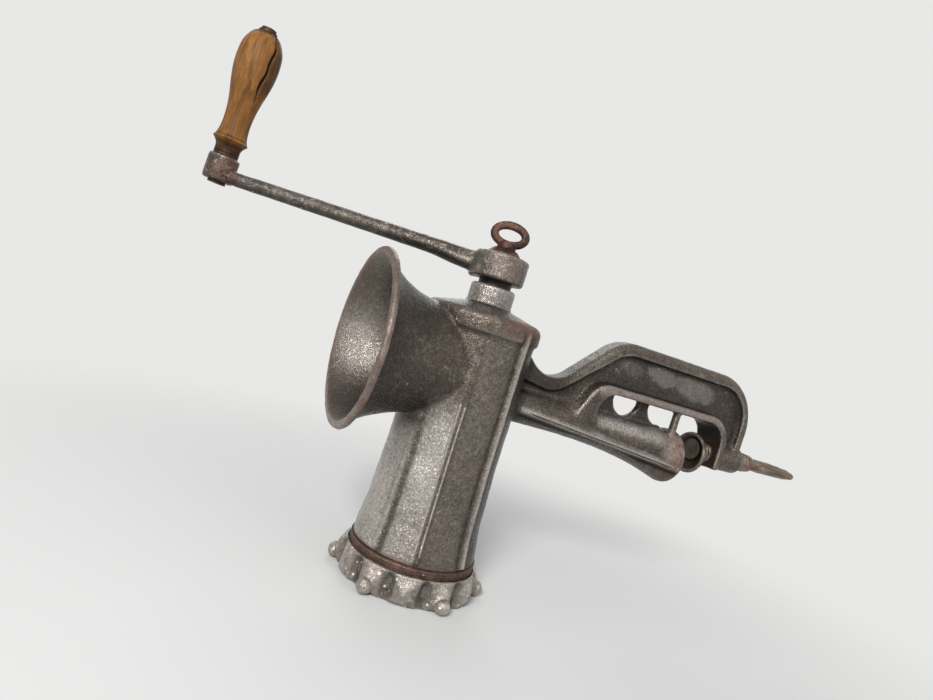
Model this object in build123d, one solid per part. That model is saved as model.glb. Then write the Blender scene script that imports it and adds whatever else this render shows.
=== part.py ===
from build123d import *

import os
from math import pi

# Hand crank meat grinder, in millimetres. The barrel axis is Z, the discharge ring's
# front face is at z = 0, the hopper opens towards -X and the clamp leg reaches to +X.

# Clearances
RUN_FIT = 0.08          # radial play of a shaft in its bearing
SEAT_GAP = 0.05         # play between faces that turn on each other
PLATE_FIT = 0.10        # radial play of the hole plate in the barrel mouth
SQUARE_FIT = 0.10       # play on each side of a square drive
THREAD_FIT = 0.35       # play over the crests of a thread
PLAY = 0.30             # play of free running parts

# Discharge end
PLATE_R = 41.0
PLATE_T = 9.0
PLATE_HOLE_R = 3.0
PLATE_ROWS = 3
PLATE_ROW_STEP = 8.0
PLATE_ROW_FIRST = 14.0
PLATE_HOLE_PITCH = 9.5  # between holes along a row
RING_H = 19.0
RING_LIP_T = 5.0
RING_OPEN_R = 35.0
RING_TOP_R = 47.0
RING_FOOT_R = 48.3
RING_EDGE = 2.5
RING_FLUTES = 12
FLUTE_R = 6.5
FLUTE_DEPTH = 2.4
RING_LUGS = 6
LUG_R = 5.2
LUG_PROUD = 7.5
LUG_ANGLE = -80.0
KEY_R = 2.5
KEY_PROUD = 3.0
KEY_ANGLE = 90.0

# Barrel
BORE_R = 34.5
BARREL_WALL = 4.2
BORE_L = 166.0          # from the plate's seat to the rear wall
MOUTH_DEPTH = 6.0
THREAD_R = 44.2
THREAD_DEPTH = 1.0
THREAD_PITCH = 2.2
THREAD_FLANK = 0.4      # share of the pitch that each flank takes
THREAD_SHOWN = 5.2      # thread left bare above the ring
COLLAR_R = 43.2
FLARE_R = 40.3          # barrel where its foot has drawn in
FLARE_L = 22.3
TAPER_L = 65.3          # from the thread to where the barrel runs straight
REAR_WALL = 10.0
FLANGE_R = 40.6
FLANGE_H = 11.0
FLANGE_EDGE = 6.0
SHOULDER_RISE = 6.2
NECK_R = 15.6
NECK_H = 13.4
NECK_EDGE = 2.0
BEAD_R = 3.0
BEAD_ANGLE = 64.0
LINE_R = 0.9
LINE_ANGLE = 109.5
LINE_SPREAD = 4.0       # angle between the two thin lines
LINE_PAST_HOPPER = 10.0 # lines end this far past the hopper's axis
STEP_R = 4.0
STEP_ANGLE = 147.0
STEP_SINK = 2.8

# Hopper, a trumpet through round sections along X
HOPPER_ABOVE_RING = 133.0
HOPPER_REACH = 81.8
HOPPER_MOUTH_R = 60.0
HOPPER_WALL = 4.5
HOPPER_LIP_BACK = 7.5   # from the mouth to where the lip has drawn in
HOPPER_LIP_R = 52.8
HOPPER_BELL_BACK = 20.0
HOPPER_BELL_R = 45.2
HOPPER_WAIST_BACK = 37.0
HOPPER_WAIST_R = 39.5
HOPPER_THROAT_R = 31.0
HOPPER_SAG = 2.0        # throat's axis below the mouth's, towards the ring

# Clamp leg
SCREW_ABOVE_RING = 118.5
LEG_HALF_W = 15.0       # rim round the window
RIM_HALF_W = 9.5        # outer rim
LEG_WEB = 9.0
RIM_EDGE = 5.0
INNER_EDGE = 2.5
ROOT_RISE = 40.5
VALLEY_X = 62.0
VALLEY_RISE = 16.0
VALLEY_R = 24.0
ARCH_START_X = 114.0
ARCH_RISE = 66.5        # top of the arch above the clamp screw's axis
ARCH_R = 36.0
ARCH_CORNER_R = 42.0
PAD_X = 193.0
THROAT_W = 38.0         # pad face to the wall that the clamp screw passes
C_END_T = 31.0
C_DROP = 11.0            # frame below the clamp screw's axis
C_BOSS_R = 11.5
C_BOSS_PROUD = 3.0
WINDOW_X = 105.0
WINDOW_TOP_RISE = 25.5
WINDOW_R = 14.0
WINDOW_CORNER_R = 16.0
RIM_T = 9.0
INNER_RIM_T = 6.0
POCKET_X = 85.0
POCKET_LOW_RISE = 3.5
POCKET_R = 8.0
POCKET_VALLEY_RISE = 14.0
POCKET_VALLEY_R = 22.0
POCKET_ARCH_R = 30.0
WINDOW_WEB = 5.0
WEB_HOLES = 2
WEB_HOLE_R = 12.5
WEB_HOLE_X = 136.0
WEB_HOLE_STEP = 35.0
WEB_HOLE_RISE = 23.5
BAR_X = 181.0
BAR_T = 4.5
BAR_W = 5.0

# Lower branch of the leg, from the barrel to the jaw pad
BRANCH_ROOT_W = 13.0    # half width, half height and rise of each section
BRANCH_ROOT_H = 13.0
BRANCH_ROOT_RISE = -1.5
BRANCH_MID_X = 110.0
BRANCH_MID_W = 14.0
BRANCH_MID_H = 13.5
BRANCH_MID_RISE = -3.5
BRANCH_END_BACK = 36.0  # last section of the beam, from the pad's face
BRANCH_END_W = 15.5
BRANCH_END_H = 17.0
BRANCH_END_RISE = -7.0
PAD_R = 21.5
PAD_T = 6.0
PAD_DROP = 10.5          # pad's centre below the clamp screw's axis
PAD_EDGE = 2.5
RIDGE_T = 4.6
RIDGE_ROOT_W = 14.6     # half width of the ridge at the barrel
RIDGE_END_W = 19.0      # and at the pad
RIDGE_ROOT_RISE = -2.5
RIDGE_END_DROP = 16.5

# Clamp screw and cup
SCREW_R = 8.0
SCREW_DEPTH = 0.7
SCREW_PITCH = 3.0
CUP_GAP = 20.5          # pad face to cup rim
CUP_R = 17.0
CUP_T = 7.0
CUP_WALL = 3.0
CUP_EDGE = 2.0
CUP_HANG = 3.0          # loose cup rests on the nose, below the screw's axis
NOSE_R = 5.0
NOSE_HEAD_R = 8.8
NOSE_HEAD_T = 2.0
WING_GAP = 11.0
WING_L = 50.0
WING_ROOT_W = 17.0
WING_TIP_W = 40.0
WING_T = 8.0
WING_EDGE = 2.5

# Auger, stud and knife
AUGER_CORE_R = 17.0
AUGER_FLIGHT_PLAY = 1.0
AUGER_FLIGHT_T = 6.0
AUGER_PITCH = 42.0
AUGER_COLLAR_R = 23.0
AUGER_COLLAR_T = 6.0
AUGER_SINK = 2.0        # flight's root inside the core
SHANK_R = 11.5
SHANK_SHOULDER = 3.6    # shank above the neck, which the hub sits on
SQUARE_W = 15.0
WASHER_T = 2.0
KNIFE_T = 7.4
KNIFE_HUB_R = 12.5
KNIFE_R = 32.5
KNIFE_BLADES = 4
BLADE_W = 10.0
BLADE_BEVEL = 4.0
STUD_W = 13.0
STUD_R = 6.0
STUD_L = 20.0           # round end held in the auger
PILOT_STOP = 1.5        # pilot's end short of the plate's front

# Crank and eye screw
CRANK_ANGLE = 145.0
CRANK_R = 225.0
HUB_R = 19.0
HUB_H = 18.8
HUB_EDGE = 2.5
ARM_HUB_R = 6.2
ARM_END_R = 5.4
ARM_RISE = 8.1
ARM_ROOT_R = 9.2
ARM_ROOT_L = 60.0
ARM_BELOW_TOP = 8.5     # arm's axis below the hub's top
BOSS_R = 11.6
BOSS_H = 19.5
BOSS_EDGE = 2.0
GRIP_TILT = 3.0         # grip and boss lean towards the hub
BOSS_BELOW_ARM = 5.5    # boss's lower face below the arm's axis
COLLAR_WASHER_R = 11.5
COLLAR_WASHER_TOP_R = 8.5
COLLAR_WASHER_T = 4.0
COLLAR_WASHER_EDGE = 1.0
EYE_SCREW_R = 5.0
EYE_SCREW_L = 24.0
EYE_W = 27.0
EYE_H = 18.5
EYE_WIRE = 4.4
EYE_FOOT_R = 7.0
EYE_FOOT_TAPER = 1.1    # radius that the foot loses towards the eye
EYE_FOOT_SINK = 1.5     # foot's top below the inside of the eye
EYE_LIFT = 1.0          # eye above the screw's shoulder
EYE_ROUNDING = 2.0
EYE_ANGLE = -25.0
SCREW_END_PLAY = 3.0

# Grip
SPINDLE_R = 4.5
SPINDLE_HEAD_R = 5.4
SPINDLE_HEAD_T = 2.0
RIVET_R = 6.5
RIVET_T = 1.8
GRIP_L = 93.5
GRIP_BASE_R = 9.2
GRIP_COLLAR_R = 12.6
GRIP_COLLAR_Z = 10.0
GRIP_WAIST_R = 10.6
GRIP_WAIST_Z = 25.0
GRIP_BELLY_R = 15.6
GRIP_BELLY_Z = 68.0
GRIP_END_R = 7.4
GRIP_COLLAR_SLOPE = 0.3 # rise over run of the outline just above the collar
GRIP_END_SLOPE = 0.35   # and at the end
GRIP_WASHER_T = 1.5
GRIP_BASE_WASHER_R = 9.0
GRIP_END_WASHER_R = 6.7

# Heights and places that follow
SEAT_Z = RING_LIP_T + SEAT_GAP + PLATE_T
MOUTH_Z = SEAT_Z - MOUTH_DEPTH
MOUTH_R = PLATE_R + PLATE_FIT
THREAD_END_Z = RING_H + THREAD_SHOWN
BARREL_R = BORE_R + BARREL_WALL
REAR_Z = SEAT_Z + BORE_L
REAR_TOP_Z = REAR_Z + REAR_WALL
NECK_Z = REAR_TOP_Z + SHOULDER_RISE
NECK_TOP_Z = NECK_Z + NECK_H
HOPPER_Z = RING_H + HOPPER_ABOVE_RING
SCREW_Z = RING_H + SCREW_ABOVE_RING
WALL_X = PAD_X + THROAT_W
C_OUT_X = WALL_X + C_END_T
CUP_X = PAD_X + CUP_GAP
CUP_BACK_X = CUP_X + CUP_T
WING_X = C_OUT_X + C_BOSS_PROUD + WING_GAP
KNIFE_Z = SEAT_Z + PLAY
AUGER_Z = KNIFE_Z + KNIFE_T + PLAY
AUGER_END_Z = REAR_Z - WASHER_T
HUB_Z = NECK_TOP_Z + SHANK_SHOULDER
HUB_TOP_Z = HUB_Z + HUB_H
ARM_Z = HUB_TOP_Z - ARM_BELOW_TOP
BOSS_Z = ARM_Z + ARM_RISE - BOSS_BELOW_ARM
BOSS_TOP_Z = BOSS_Z + BOSS_H
GRIP_Z = BOSS_TOP_Z + GRIP_WASHER_T + SEAT_GAP
GRIP_TOP_Z = GRIP_Z + GRIP_L
END_WASHER_Z = GRIP_TOP_Z + SEAT_GAP
SPINDLE_TOP_Z = END_WASHER_Z + GRIP_WASHER_T + SPINDLE_HEAD_T
BOTTOM_UP = (Align.CENTER, Align.CENTER, Align.MIN)


def rod(radius, low, high):
    """A round bar about the Z axis between two heights."""
    return Pos(0, 0, low) * Cylinder(radius, high - low, align=BOTTOM_UP)


def cross_rod(radius, low, high, height):
    """A round bar along X at the given height."""
    return Pos(low, 0, height) * Rot(0, 90, 0) * Cylinder(radius, high - low, align=BOTTOM_UP)


def square_bar(width, low, high):
    """A square bar about the Z axis between two heights."""
    return Pos(0, 0, low) * Box(width, width, high - low, align=BOTTOM_UP)


def turned(points, axis=Axis.Z):
    """A solid of revolution from a closed outline of straight lines."""
    return revolve(make_face(Polyline(*points, close=True)), axis)


def lathe_points(pairs):
    """Points of an outline given as radius and height."""
    return [(radius, 0, height) for radius, height in pairs]


def side_plate(corners, half_width):
    """A plate in the X-Z plane from corners given as x, z and rounding radius."""
    points = [(x, 0, z) for x, z, _ in corners]
    radii = [rounding for _, _, rounding in corners]
    outline = FilletPolyline(*points, radius=radii, close=True)
    return extrude(make_face(outline), half_width, both=True)


def ridges(root, crest, low, high, pitch):
    """Radius and place of each corner of a row of thread ridges."""
    count = int((high - low) / pitch)
    corners = []
    for turn in range(count):
        start = low + turn * pitch
        corners += [(root, start), (crest, start + THREAD_FLANK * pitch)]
        corners += [(crest, start + (1 - THREAD_FLANK) * pitch)]
    return corners + [(root, low + count * pitch)]


def barrel_outside():
    root = THREAD_R - THREAD_DEPTH
    outline = [(0, MOUTH_Z)]
    outline += ridges(root, THREAD_R, MOUTH_Z, THREAD_END_Z, THREAD_PITCH)
    outline += [(COLLAR_R, THREAD_END_Z), (COLLAR_R, THREAD_END_Z + THREAD_PITCH)]
    outline += [(FLARE_R, THREAD_END_Z + FLARE_L)]
    outline += [(BARREL_R, THREAD_END_Z + TAPER_L)]
    outline += [(BARREL_R, REAR_TOP_Z - FLANGE_H - THREAD_PITCH), (0, REAR_TOP_Z - FLANGE_H - THREAD_PITCH)]
    neck = rod(NECK_R, REAR_Z, NECK_TOP_Z)
    neck = fillet(neck.edges().sort_by(Axis.Z)[-1], NECK_EDGE)
    return turned(lathe_points(outline)) + rear_shoulder() + neck


def rear_shoulder():
    """Rounded flange over the rear wall, sloping up to the neck."""
    low = REAR_TOP_Z - FLANGE_H
    outline = [(0, low - THREAD_PITCH), (BARREL_R, low - THREAD_PITCH), (FLANGE_R, low)]
    outline += [(FLANGE_R, REAR_TOP_Z), (NECK_R, NECK_Z), (0, NECK_Z)]
    radii = [0, 0, 0, FLANGE_EDGE, 0, 0]
    wire = FilletPolyline(*lathe_points(outline), radius=radii, close=True)
    return revolve(make_face(wire), Axis.Z)


def rib(radius, sink, high):
    """A round rib along the barrel, sunk into its side, that follows its taper down to the thread."""
    stations = [(BARREL_R, high), (BARREL_R, THREAD_END_Z + TAPER_L)]
    stations += [(FLARE_R, THREAD_END_Z + FLARE_L), (COLLAR_R, THREAD_END_Z + THREAD_PITCH)]
    path = Polyline(*[(distance - sink, 0, height) for distance, height in stations])
    section = Plane(path @ 0, z_dir=path % 0) * Circle(radius)
    return sweep(section, path, transition=Transition.ROUND)


def barrel_ribs():
    """Beads, thin lines and soft steps cast along both sides of the barrel."""
    line_high = HOPPER_Z + LINE_PAST_HOPPER
    kinds = [
        (rib(BEAD_R, 0, REAR_TOP_Z - FLANGE_H / 2), BEAD_ANGLE),
        (rib(LINE_R, 0, line_high), LINE_ANGLE - LINE_SPREAD / 2),
        (rib(LINE_R, 0, line_high), LINE_ANGLE + LINE_SPREAD / 2),
        (rib(STEP_R, STEP_SINK, HOPPER_Z), STEP_ANGLE),
    ]
    return [Rot(0, 0, side * angle) * solid for side in (-1, 1) for solid, angle in kinds]


def trumpet(offset):
    """The hopper's outside, or its inside when drawn in by the wall."""
    stations = [
        (0, HOPPER_MOUTH_R, 0),
        (HOPPER_LIP_BACK, HOPPER_LIP_R, HOPPER_SAG / 2),
        (HOPPER_BELL_BACK, HOPPER_BELL_R, HOPPER_SAG),
        (HOPPER_WAIST_BACK, HOPPER_WAIST_R, HOPPER_SAG),
        (HOPPER_REACH, HOPPER_THROAT_R, HOPPER_SAG),
    ]
    sections = []
    for back, radius, sag in stations:
        place = Plane((back - HOPPER_REACH, 0, HOPPER_Z - sag), x_dir=(0, 1, 0), z_dir=(1, 0, 0))
        sections.append(place * Circle(radius - offset))
    return loft(sections)


def hopper_rim():
    """Rolled edge round the hopper's mouth."""
    ring = Torus(HOPPER_MOUTH_R - HOPPER_WALL / 2, HOPPER_WALL / 2)
    return Pos(-HOPPER_REACH + HOPPER_WALL / 2, 0, HOPPER_Z) * Rot(0, 90, 0) * ring


def leg_corners():
    """Outline of the arch and the C, open below where the lower branch lies."""
    top = SCREW_Z + ARCH_RISE
    window_top = SCREW_Z + WINDOW_TOP_RISE
    low = SCREW_Z - C_DROP
    return [
        (BORE_R, SCREW_Z + ROOT_RISE, 0),
        (VALLEY_X, SCREW_Z + VALLEY_RISE, VALLEY_R),
        (ARCH_START_X, top, ARCH_R),
        (C_OUT_X, top, ARCH_CORNER_R),
        (C_OUT_X, low, RIM_EDGE),
        (WALL_X, low, RIM_EDGE),
        (WALL_X, window_top, WINDOW_CORNER_R),
        (WINDOW_X, window_top, WINDOW_R),
        (WINDOW_X, SCREW_Z, 0),
        (BORE_R, SCREW_Z, 0),
    ]


def pocket_corners():
    """Outline of the recess between the leg's outer rim and the rim round its window."""
    top = SCREW_Z + ARCH_RISE - RIM_T
    inner_top = SCREW_Z + WINDOW_TOP_RISE + INNER_RIM_T / 2
    low = SCREW_Z + POCKET_LOW_RISE
    valley = SCREW_Z + POCKET_VALLEY_RISE
    return [
        (BORE_R, valley + RIM_T / 2, 0),
        (VALLEY_X + RIM_T / 2, valley, POCKET_VALLEY_R),
        (ARCH_START_X + RIM_T / 2, top, POCKET_ARCH_R),
        (C_OUT_X - RIM_T, top, POCKET_ARCH_R),
        (C_OUT_X - RIM_T, low, POCKET_R / 2),
        (WALL_X + INNER_RIM_T / 2, low, POCKET_R / 2),
        (WALL_X + INNER_RIM_T / 2, inner_top, WINDOW_CORNER_R),
        (WINDOW_X, inner_top, WINDOW_R),
        (POCKET_X, low, POCKET_R),
        (BORE_R, low, 0),
    ]


def window_rim_corners():
    """Outline of the wide rim round the top, left and right of the window."""
    window_top = SCREW_Z + WINDOW_TOP_RISE
    rim_top = window_top + INNER_RIM_T
    low = SCREW_Z - C_DROP
    return [
        (POCKET_X, SCREW_Z, 0),
        (POCKET_X, SCREW_Z + POCKET_LOW_RISE, POCKET_R),
        (WINDOW_X - INNER_RIM_T, rim_top, WINDOW_R + INNER_RIM_T),
        (WALL_X + INNER_RIM_T, rim_top, WINDOW_CORNER_R + INNER_RIM_T),
        (WALL_X + INNER_RIM_T, low, INNER_EDGE),
        (WALL_X, low, INNER_EDGE),
        (WALL_X, window_top, WINDOW_CORNER_R),
        (WINDOW_X, window_top, WINDOW_R),
        (WINDOW_X, SCREW_Z, 0),
    ]


def round_sides(plate, rounding):
    """Rounds the edges of a plate's two flat sides."""
    sides = plate.faces().sort_by(Axis.Y)
    return fillet(sides[0].edges() + sides[-1].edges(), rounding)


def lower_branch():
    """Rounded beam that grows from the barrel and flares into the jaw pad."""
    back = PAD_X - PAD_T
    stations = [
        (BORE_R, BRANCH_ROOT_W, BRANCH_ROOT_H, BRANCH_ROOT_RISE),
        (BRANCH_MID_X, BRANCH_MID_W, BRANCH_MID_H, BRANCH_MID_RISE),
        (PAD_X - BRANCH_END_BACK, BRANCH_END_W, BRANCH_END_H, BRANCH_END_RISE),
        (back, PAD_R, PAD_R, -PAD_DROP),
    ]
    sections = []
    for x, half_width, half_height, rise in stations:
        place = Plane((x, 0, SCREW_Z + rise), x_dir=(0, 1, 0), z_dir=(1, 0, 0))
        sections.append(place * Ellipse(half_width, half_height))
    pad = cross_rod(PAD_R, back, PAD_X, SCREW_Z - PAD_DROP)
    pad = fillet(pad.edges().sort_by(Axis.X)[-1], PAD_EDGE)
    return loft(sections) + pad + branch_ridge()


def branch_ridge():
    """Thin plate through the beam, whose edges stand out as a line along each side."""
    start = (BARREL_R, SCREW_Z + RIDGE_ROOT_RISE)
    end = (PAD_X - PAD_T / 2, SCREW_Z - RIDGE_END_DROP)
    run = Vector(end[0] - start[0], 0, end[1] - start[1])
    place = Plane((start[0], 0, start[1]), x_dir=run, z_dir=(-run.Z, 0, run.X))
    corners = [(0, -RIDGE_ROOT_W), (run.length, -RIDGE_END_W), (run.length, RIDGE_END_W), (0, RIDGE_ROOT_W)]
    plate = extrude(make_face(Polyline(*corners, close=True)), RIDGE_T / 2, both=True)
    long_edges = plate.edges().group_by(SortBy.LENGTH)[-1]
    return place * fillet(long_edges, RIDGE_T / 3)


def window_web():
    """Thin web inside the window, with two holes, and a post beside it on the front."""
    low = SCREW_Z
    high = SCREW_Z + WINDOW_TOP_RISE + INNER_RIM_T / 2
    middle_z = (low + high) / 2
    web = Pos((BAR_X + WINDOW_X) / 2, 0, middle_z) * Box(BAR_X - WINDOW_X, WINDOW_WEB, high - low)
    for hole in range(WEB_HOLES):
        place = Pos(WEB_HOLE_X + hole * WEB_HOLE_STEP, 0, SCREW_Z + WEB_HOLE_RISE)
        web -= place * Rot(90, 0, 0) * Cylinder(WEB_HOLE_R, 2 * WINDOW_WEB)
    bar_y = LEG_HALF_W - INNER_EDGE - BAR_W / 2
    bar = Pos(BAR_X, -bar_y, middle_z) * Box(BAR_T, BAR_W, high - low)
    return web + bar


def clamp_frame():
    """Leg with its arch, recessed web, window, lower branch, jaw pad and screw boss."""
    leg = round_sides(side_plate(leg_corners(), RIM_HALF_W), RIM_EDGE)
    depth = LEG_HALF_W
    pocket = side_plate(pocket_corners(), depth)
    for side in (-1, 1):
        leg -= Pos(0, side * (LEG_WEB / 2 + depth), 0) * pocket
    leg += round_sides(side_plate(window_rim_corners(), LEG_HALF_W), INNER_EDGE)
    leg += [lower_branch(), window_web()]
    leg += cross_rod(C_BOSS_R, WALL_X, C_OUT_X + C_BOSS_PROUD, SCREW_Z)
    return leg - cross_rod(SCREW_R + RUN_FIT, WALL_X - WINDOW_R, C_OUT_X + WING_GAP, SCREW_Z)


def body_casting():
    shell = barrel_outside() + barrel_ribs() + trumpet(0) + hopper_rim() + clamp_frame()
    shell -= trumpet(HOPPER_WALL)
    shell -= rod(BORE_R, SEAT_Z, REAR_Z)
    shell -= rod(MOUTH_R, MOUTH_Z - MOUTH_DEPTH, SEAT_Z)
    shell -= rod(SHANK_R + RUN_FIT, REAR_Z, NECK_TOP_Z + SHANK_SHOULDER)
    return shell - key_pin()


def key_pin():
    inner = MOUTH_R - KEY_PROUD
    length = THREAD_R - THREAD_DEPTH - inner - THREAD_FIT
    place = Rot(0, 0, KEY_ANGLE) * Pos(inner, 0, MOUTH_Z + MOUTH_DEPTH / 2) * Rot(0, 90, 0)
    return place * Cylinder(KEY_R, length, align=BOTTOM_UP)


def perforated_plate():
    plate = rod(PLATE_R, SEAT_Z - PLATE_T, SEAT_Z - SEAT_GAP)
    holes = [rod(STUD_R + RUN_FIT, 0, SEAT_Z)]
    for row in range(PLATE_ROWS):
        radius = PLATE_ROW_FIRST + row * PLATE_ROW_STEP
        count = round(2 * pi * radius / PLATE_HOLE_PITCH)
        for place in PolarLocations(radius, count):
            holes.append(place * rod(PLATE_HOLE_R, 0, SEAT_Z))
    notch_r = KEY_R + PLAY
    notch_l = KEY_PROUD + PLATE_FIT + PLAY
    notch = Pos(PLATE_R - notch_l / 2 + PLAY, 0, 0) * Box(notch_l + PLAY, 2 * notch_r, 2 * SEAT_Z)
    return plate - holes - Rot(0, 0, KEY_ANGLE) * notch


def screw_ring():
    middle = RING_H / 2
    outline = [(RING_OPEN_R, 0), (RING_FOOT_R, 0), (RING_FOOT_R, middle), (RING_TOP_R, RING_H)]
    outline += [(THREAD_R + THREAD_FIT, RING_H), (THREAD_R + THREAD_FIT, RING_LIP_T)]
    outline += [(RING_OPEN_R, RING_LIP_T)]
    radii = [0, RING_EDGE, middle / 2, 0, 0, 0, 0]
    wire = FilletPolyline(*lathe_points(outline), radius=radii, close=True)
    ring = revolve(make_face(wire), Axis.Z)
    flute = Pos(RING_FOOT_R + FLUTE_R - FLUTE_DEPTH, 0, 0) * rod(FLUTE_R, -RING_H, 2 * RING_H)
    turn = 360 / RING_FLUTES
    for index in range(RING_FLUTES):
        ring -= Rot(0, 0, LUG_ANGLE + (index + 0.5) * turn) * flute
    lug = Pos(RING_FOOT_R + LUG_PROUD - LUG_R, 0, LUG_R) * Sphere(LUG_R)
    for index in range(RING_LUGS):
        ring += Rot(0, 0, LUG_ANGLE + index * 360 / RING_LUGS) * lug
    return ring


def auger():
    """Feed screw: core, flight, thrust collar, shank and the square that drives it."""
    core = rod(AUGER_CORE_R, AUGER_Z, AUGER_END_Z)
    core += rod(AUGER_COLLAR_R, AUGER_END_Z - AUGER_COLLAR_T, AUGER_END_Z)
    core += rod(SHANK_R, AUGER_END_Z, HUB_Z)
    square_top = HUB_TOP_Z - COLLAR_WASHER_T / 2
    core += Rot(0, 0, CRANK_ANGLE) * square_bar(SQUARE_W, HUB_Z, square_top)
    inner = AUGER_CORE_R - AUGER_SINK
    outer = BORE_R - AUGER_FLIGHT_PLAY
    low = AUGER_Z + AUGER_FLIGHT_T / 2
    length = AUGER_END_Z - AUGER_COLLAR_T - AUGER_FLIGHT_T / 2 - low
    path = Pos(0, 0, low) * Helix(AUGER_PITCH, length, (inner + outer) / 2)
    section = Plane(path @ 0, x_dir=(1, 0, 0), z_dir=path % 0) * Rectangle(outer - inner, AUGER_FLIGHT_T)
    core += sweep(section, path, is_frenet=True)
    core -= rod(STUD_R + RUN_FIT, AUGER_Z, AUGER_Z + STUD_L)
    hole_low = HUB_TOP_Z + COLLAR_WASHER_T - EYE_SCREW_L - SCREW_END_PLAY
    return core - rod(EYE_SCREW_R + RUN_FIT, hole_low, HUB_TOP_Z)


def thrust_washer():
    return rod(AUGER_COLLAR_R, AUGER_END_Z, REAR_Z - SEAT_GAP) - rod(SHANK_R + RUN_FIT, AUGER_END_Z, REAR_Z)


def knife_stud():
    stud = rod(STUD_R, RING_LIP_T + PILOT_STOP, AUGER_Z + STUD_L)
    return stud + square_bar(STUD_W, SEAT_Z + SEAT_GAP, AUGER_Z)


def knife():
    """Four blades on a hub, each bevelled behind its cutting edge."""
    cutter = rod(KNIFE_HUB_R, KNIFE_Z, KNIFE_Z + KNIFE_T)
    blade = Pos(0, 0, KNIFE_Z) * Box(KNIFE_R, BLADE_W, KNIFE_T, align=(Align.MIN, Align.CENTER, Align.MIN))
    back_edge = blade.edges().filter_by(Axis.X).sort_by(lambda edge: edge.center().Z + edge.center().Y)[-1]
    blade = chamfer(back_edge, BLADE_BEVEL)
    for index in range(KNIFE_BLADES):
        cutter += Rot(0, 0, index * 360 / KNIFE_BLADES) * blade
    return cutter - square_bar(STUD_W + 2 * SQUARE_FIT, KNIFE_Z - PLAY, KNIFE_Z + 2 * KNIFE_T)


def crank_arm():
    hub = fillet(rod(HUB_R, HUB_Z, HUB_TOP_Z).edges(), HUB_EDGE)
    boss = fillet(rod(BOSS_R, BOSS_Z, BOSS_TOP_Z).edges(), BOSS_EDGE)
    along = Plane((0, 0, ARM_Z), x_dir=(0, 1, 0), z_dir=(CRANK_R, 0, ARM_RISE))
    bar = along * Cone(ARM_HUB_R, ARM_END_R, CRANK_R, align=BOTTOM_UP)
    root_z = HUB_TOP_Z - ARM_ROOT_R - PLAY
    root_rise = ARM_Z + ARM_RISE * ARM_ROOT_L / CRANK_R - root_z
    root_along = Plane((0, 0, root_z), x_dir=(0, 1, 0), z_dir=(ARM_ROOT_L, 0, root_rise))
    root = root_along * Cone(ARM_ROOT_R, ARM_END_R, ARM_ROOT_L, align=BOTTOM_UP)
    crank = hub + bar + root - square_bar(SQUARE_W + 2 * SQUARE_FIT, HUB_Z, HUB_TOP_Z)
    crank = Rot(0, 0, CRANK_ANGLE) * crank + at_boss(boss)
    return crank - at_boss(rod(SPINDLE_R + RUN_FIT, BOSS_Z, BOSS_TOP_Z))


def collar_washer():
    top = HUB_TOP_Z + COLLAR_WASHER_T
    outline = [(0, HUB_TOP_Z), (COLLAR_WASHER_R, HUB_TOP_Z)]
    outline += [(COLLAR_WASHER_R, HUB_TOP_Z + COLLAR_WASHER_EDGE), (COLLAR_WASHER_TOP_R, top), (0, top)]
    return turned(lathe_points(outline)) - rod(EYE_SCREW_R + RUN_FIT, HUB_TOP_Z, top)


def eye_screw():
    """Screw with an oval eye of round wire standing on its foot."""
    foot_z = HUB_TOP_Z + COLLAR_WASHER_T + SEAT_GAP
    bow_z = foot_z + EYE_LIFT + EYE_H / 2
    loop = Ellipse(EYE_W / 2, EYE_H / 2) - Ellipse(EYE_W / 2 - EYE_WIRE, EYE_H / 2 - EYE_WIRE)
    bow = extrude(Plane.XZ * loop, EYE_WIRE / 2, both=True)
    bow = Pos(0, 0, bow_z) * fillet(bow.edges().filter_by(Plane.XZ), EYE_ROUNDING)
    foot_top = bow_z - EYE_H / 2 + EYE_WIRE - EYE_FOOT_SINK
    outline = [(0, foot_z), (EYE_FOOT_R, foot_z), (EYE_FOOT_R - EYE_FOOT_TAPER, foot_top), (0, foot_top)]
    screw = turned(lathe_points(outline)) + bow
    screw += rod(EYE_SCREW_R, foot_z - EYE_SCREW_L, foot_z)
    return Rot(0, 0, EYE_ANGLE) * screw


def at_boss(solid):
    """Carries a solid made on the Z axis to the crank's outer end, leaning towards the hub."""
    place = Rot(0, 0, CRANK_ANGLE) * Pos(CRANK_R, 0, BOSS_Z)
    return place * Rot(0, -GRIP_TILT, 0) * Pos(0, 0, -BOSS_Z) * solid


def grip_spindle():
    spindle = rod(SPINDLE_R, BOSS_Z - RIVET_T, SPINDLE_TOP_Z)
    spindle += rod(RIVET_R, BOSS_Z - RIVET_T, BOSS_Z)
    spindle += rod(SPINDLE_HEAD_R, SPINDLE_TOP_Z - SPINDLE_HEAD_T, SPINDLE_TOP_Z)
    return at_boss(spindle)


def grip_washer(radius, low):
    return at_boss(rod(radius, low, low + GRIP_WASHER_T) - rod(SPINDLE_R + RUN_FIT, low, low + GRIP_WASHER_T))


def wooden_grip():
    """Turned handle: a base, a sharp collar, a waist and a belly that rounds to its end."""
    foot = Polyline((0, 0, 0), (GRIP_BASE_R, 0, 0), (GRIP_COLLAR_R, 0, GRIP_COLLAR_Z))
    waist = (GRIP_WAIST_R, 0, GRIP_WAIST_Z)
    belly = (GRIP_BELLY_R, 0, GRIP_BELLY_Z)
    end = (GRIP_END_R, 0, GRIP_L)
    side = Spline(foot @ 1, waist, belly, end, tangents=[(-1, 0, GRIP_COLLAR_SLOPE), (-1, 0, GRIP_END_SLOPE)])
    close = Polyline(end, (0, 0, GRIP_L), (0, 0, 0))
    body = revolve(make_face(foot + side + close), Axis.Z)
    return at_boss(Pos(0, 0, GRIP_Z) * (body - rod(SPINDLE_R + RUN_FIT, 0, GRIP_L)))


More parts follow.
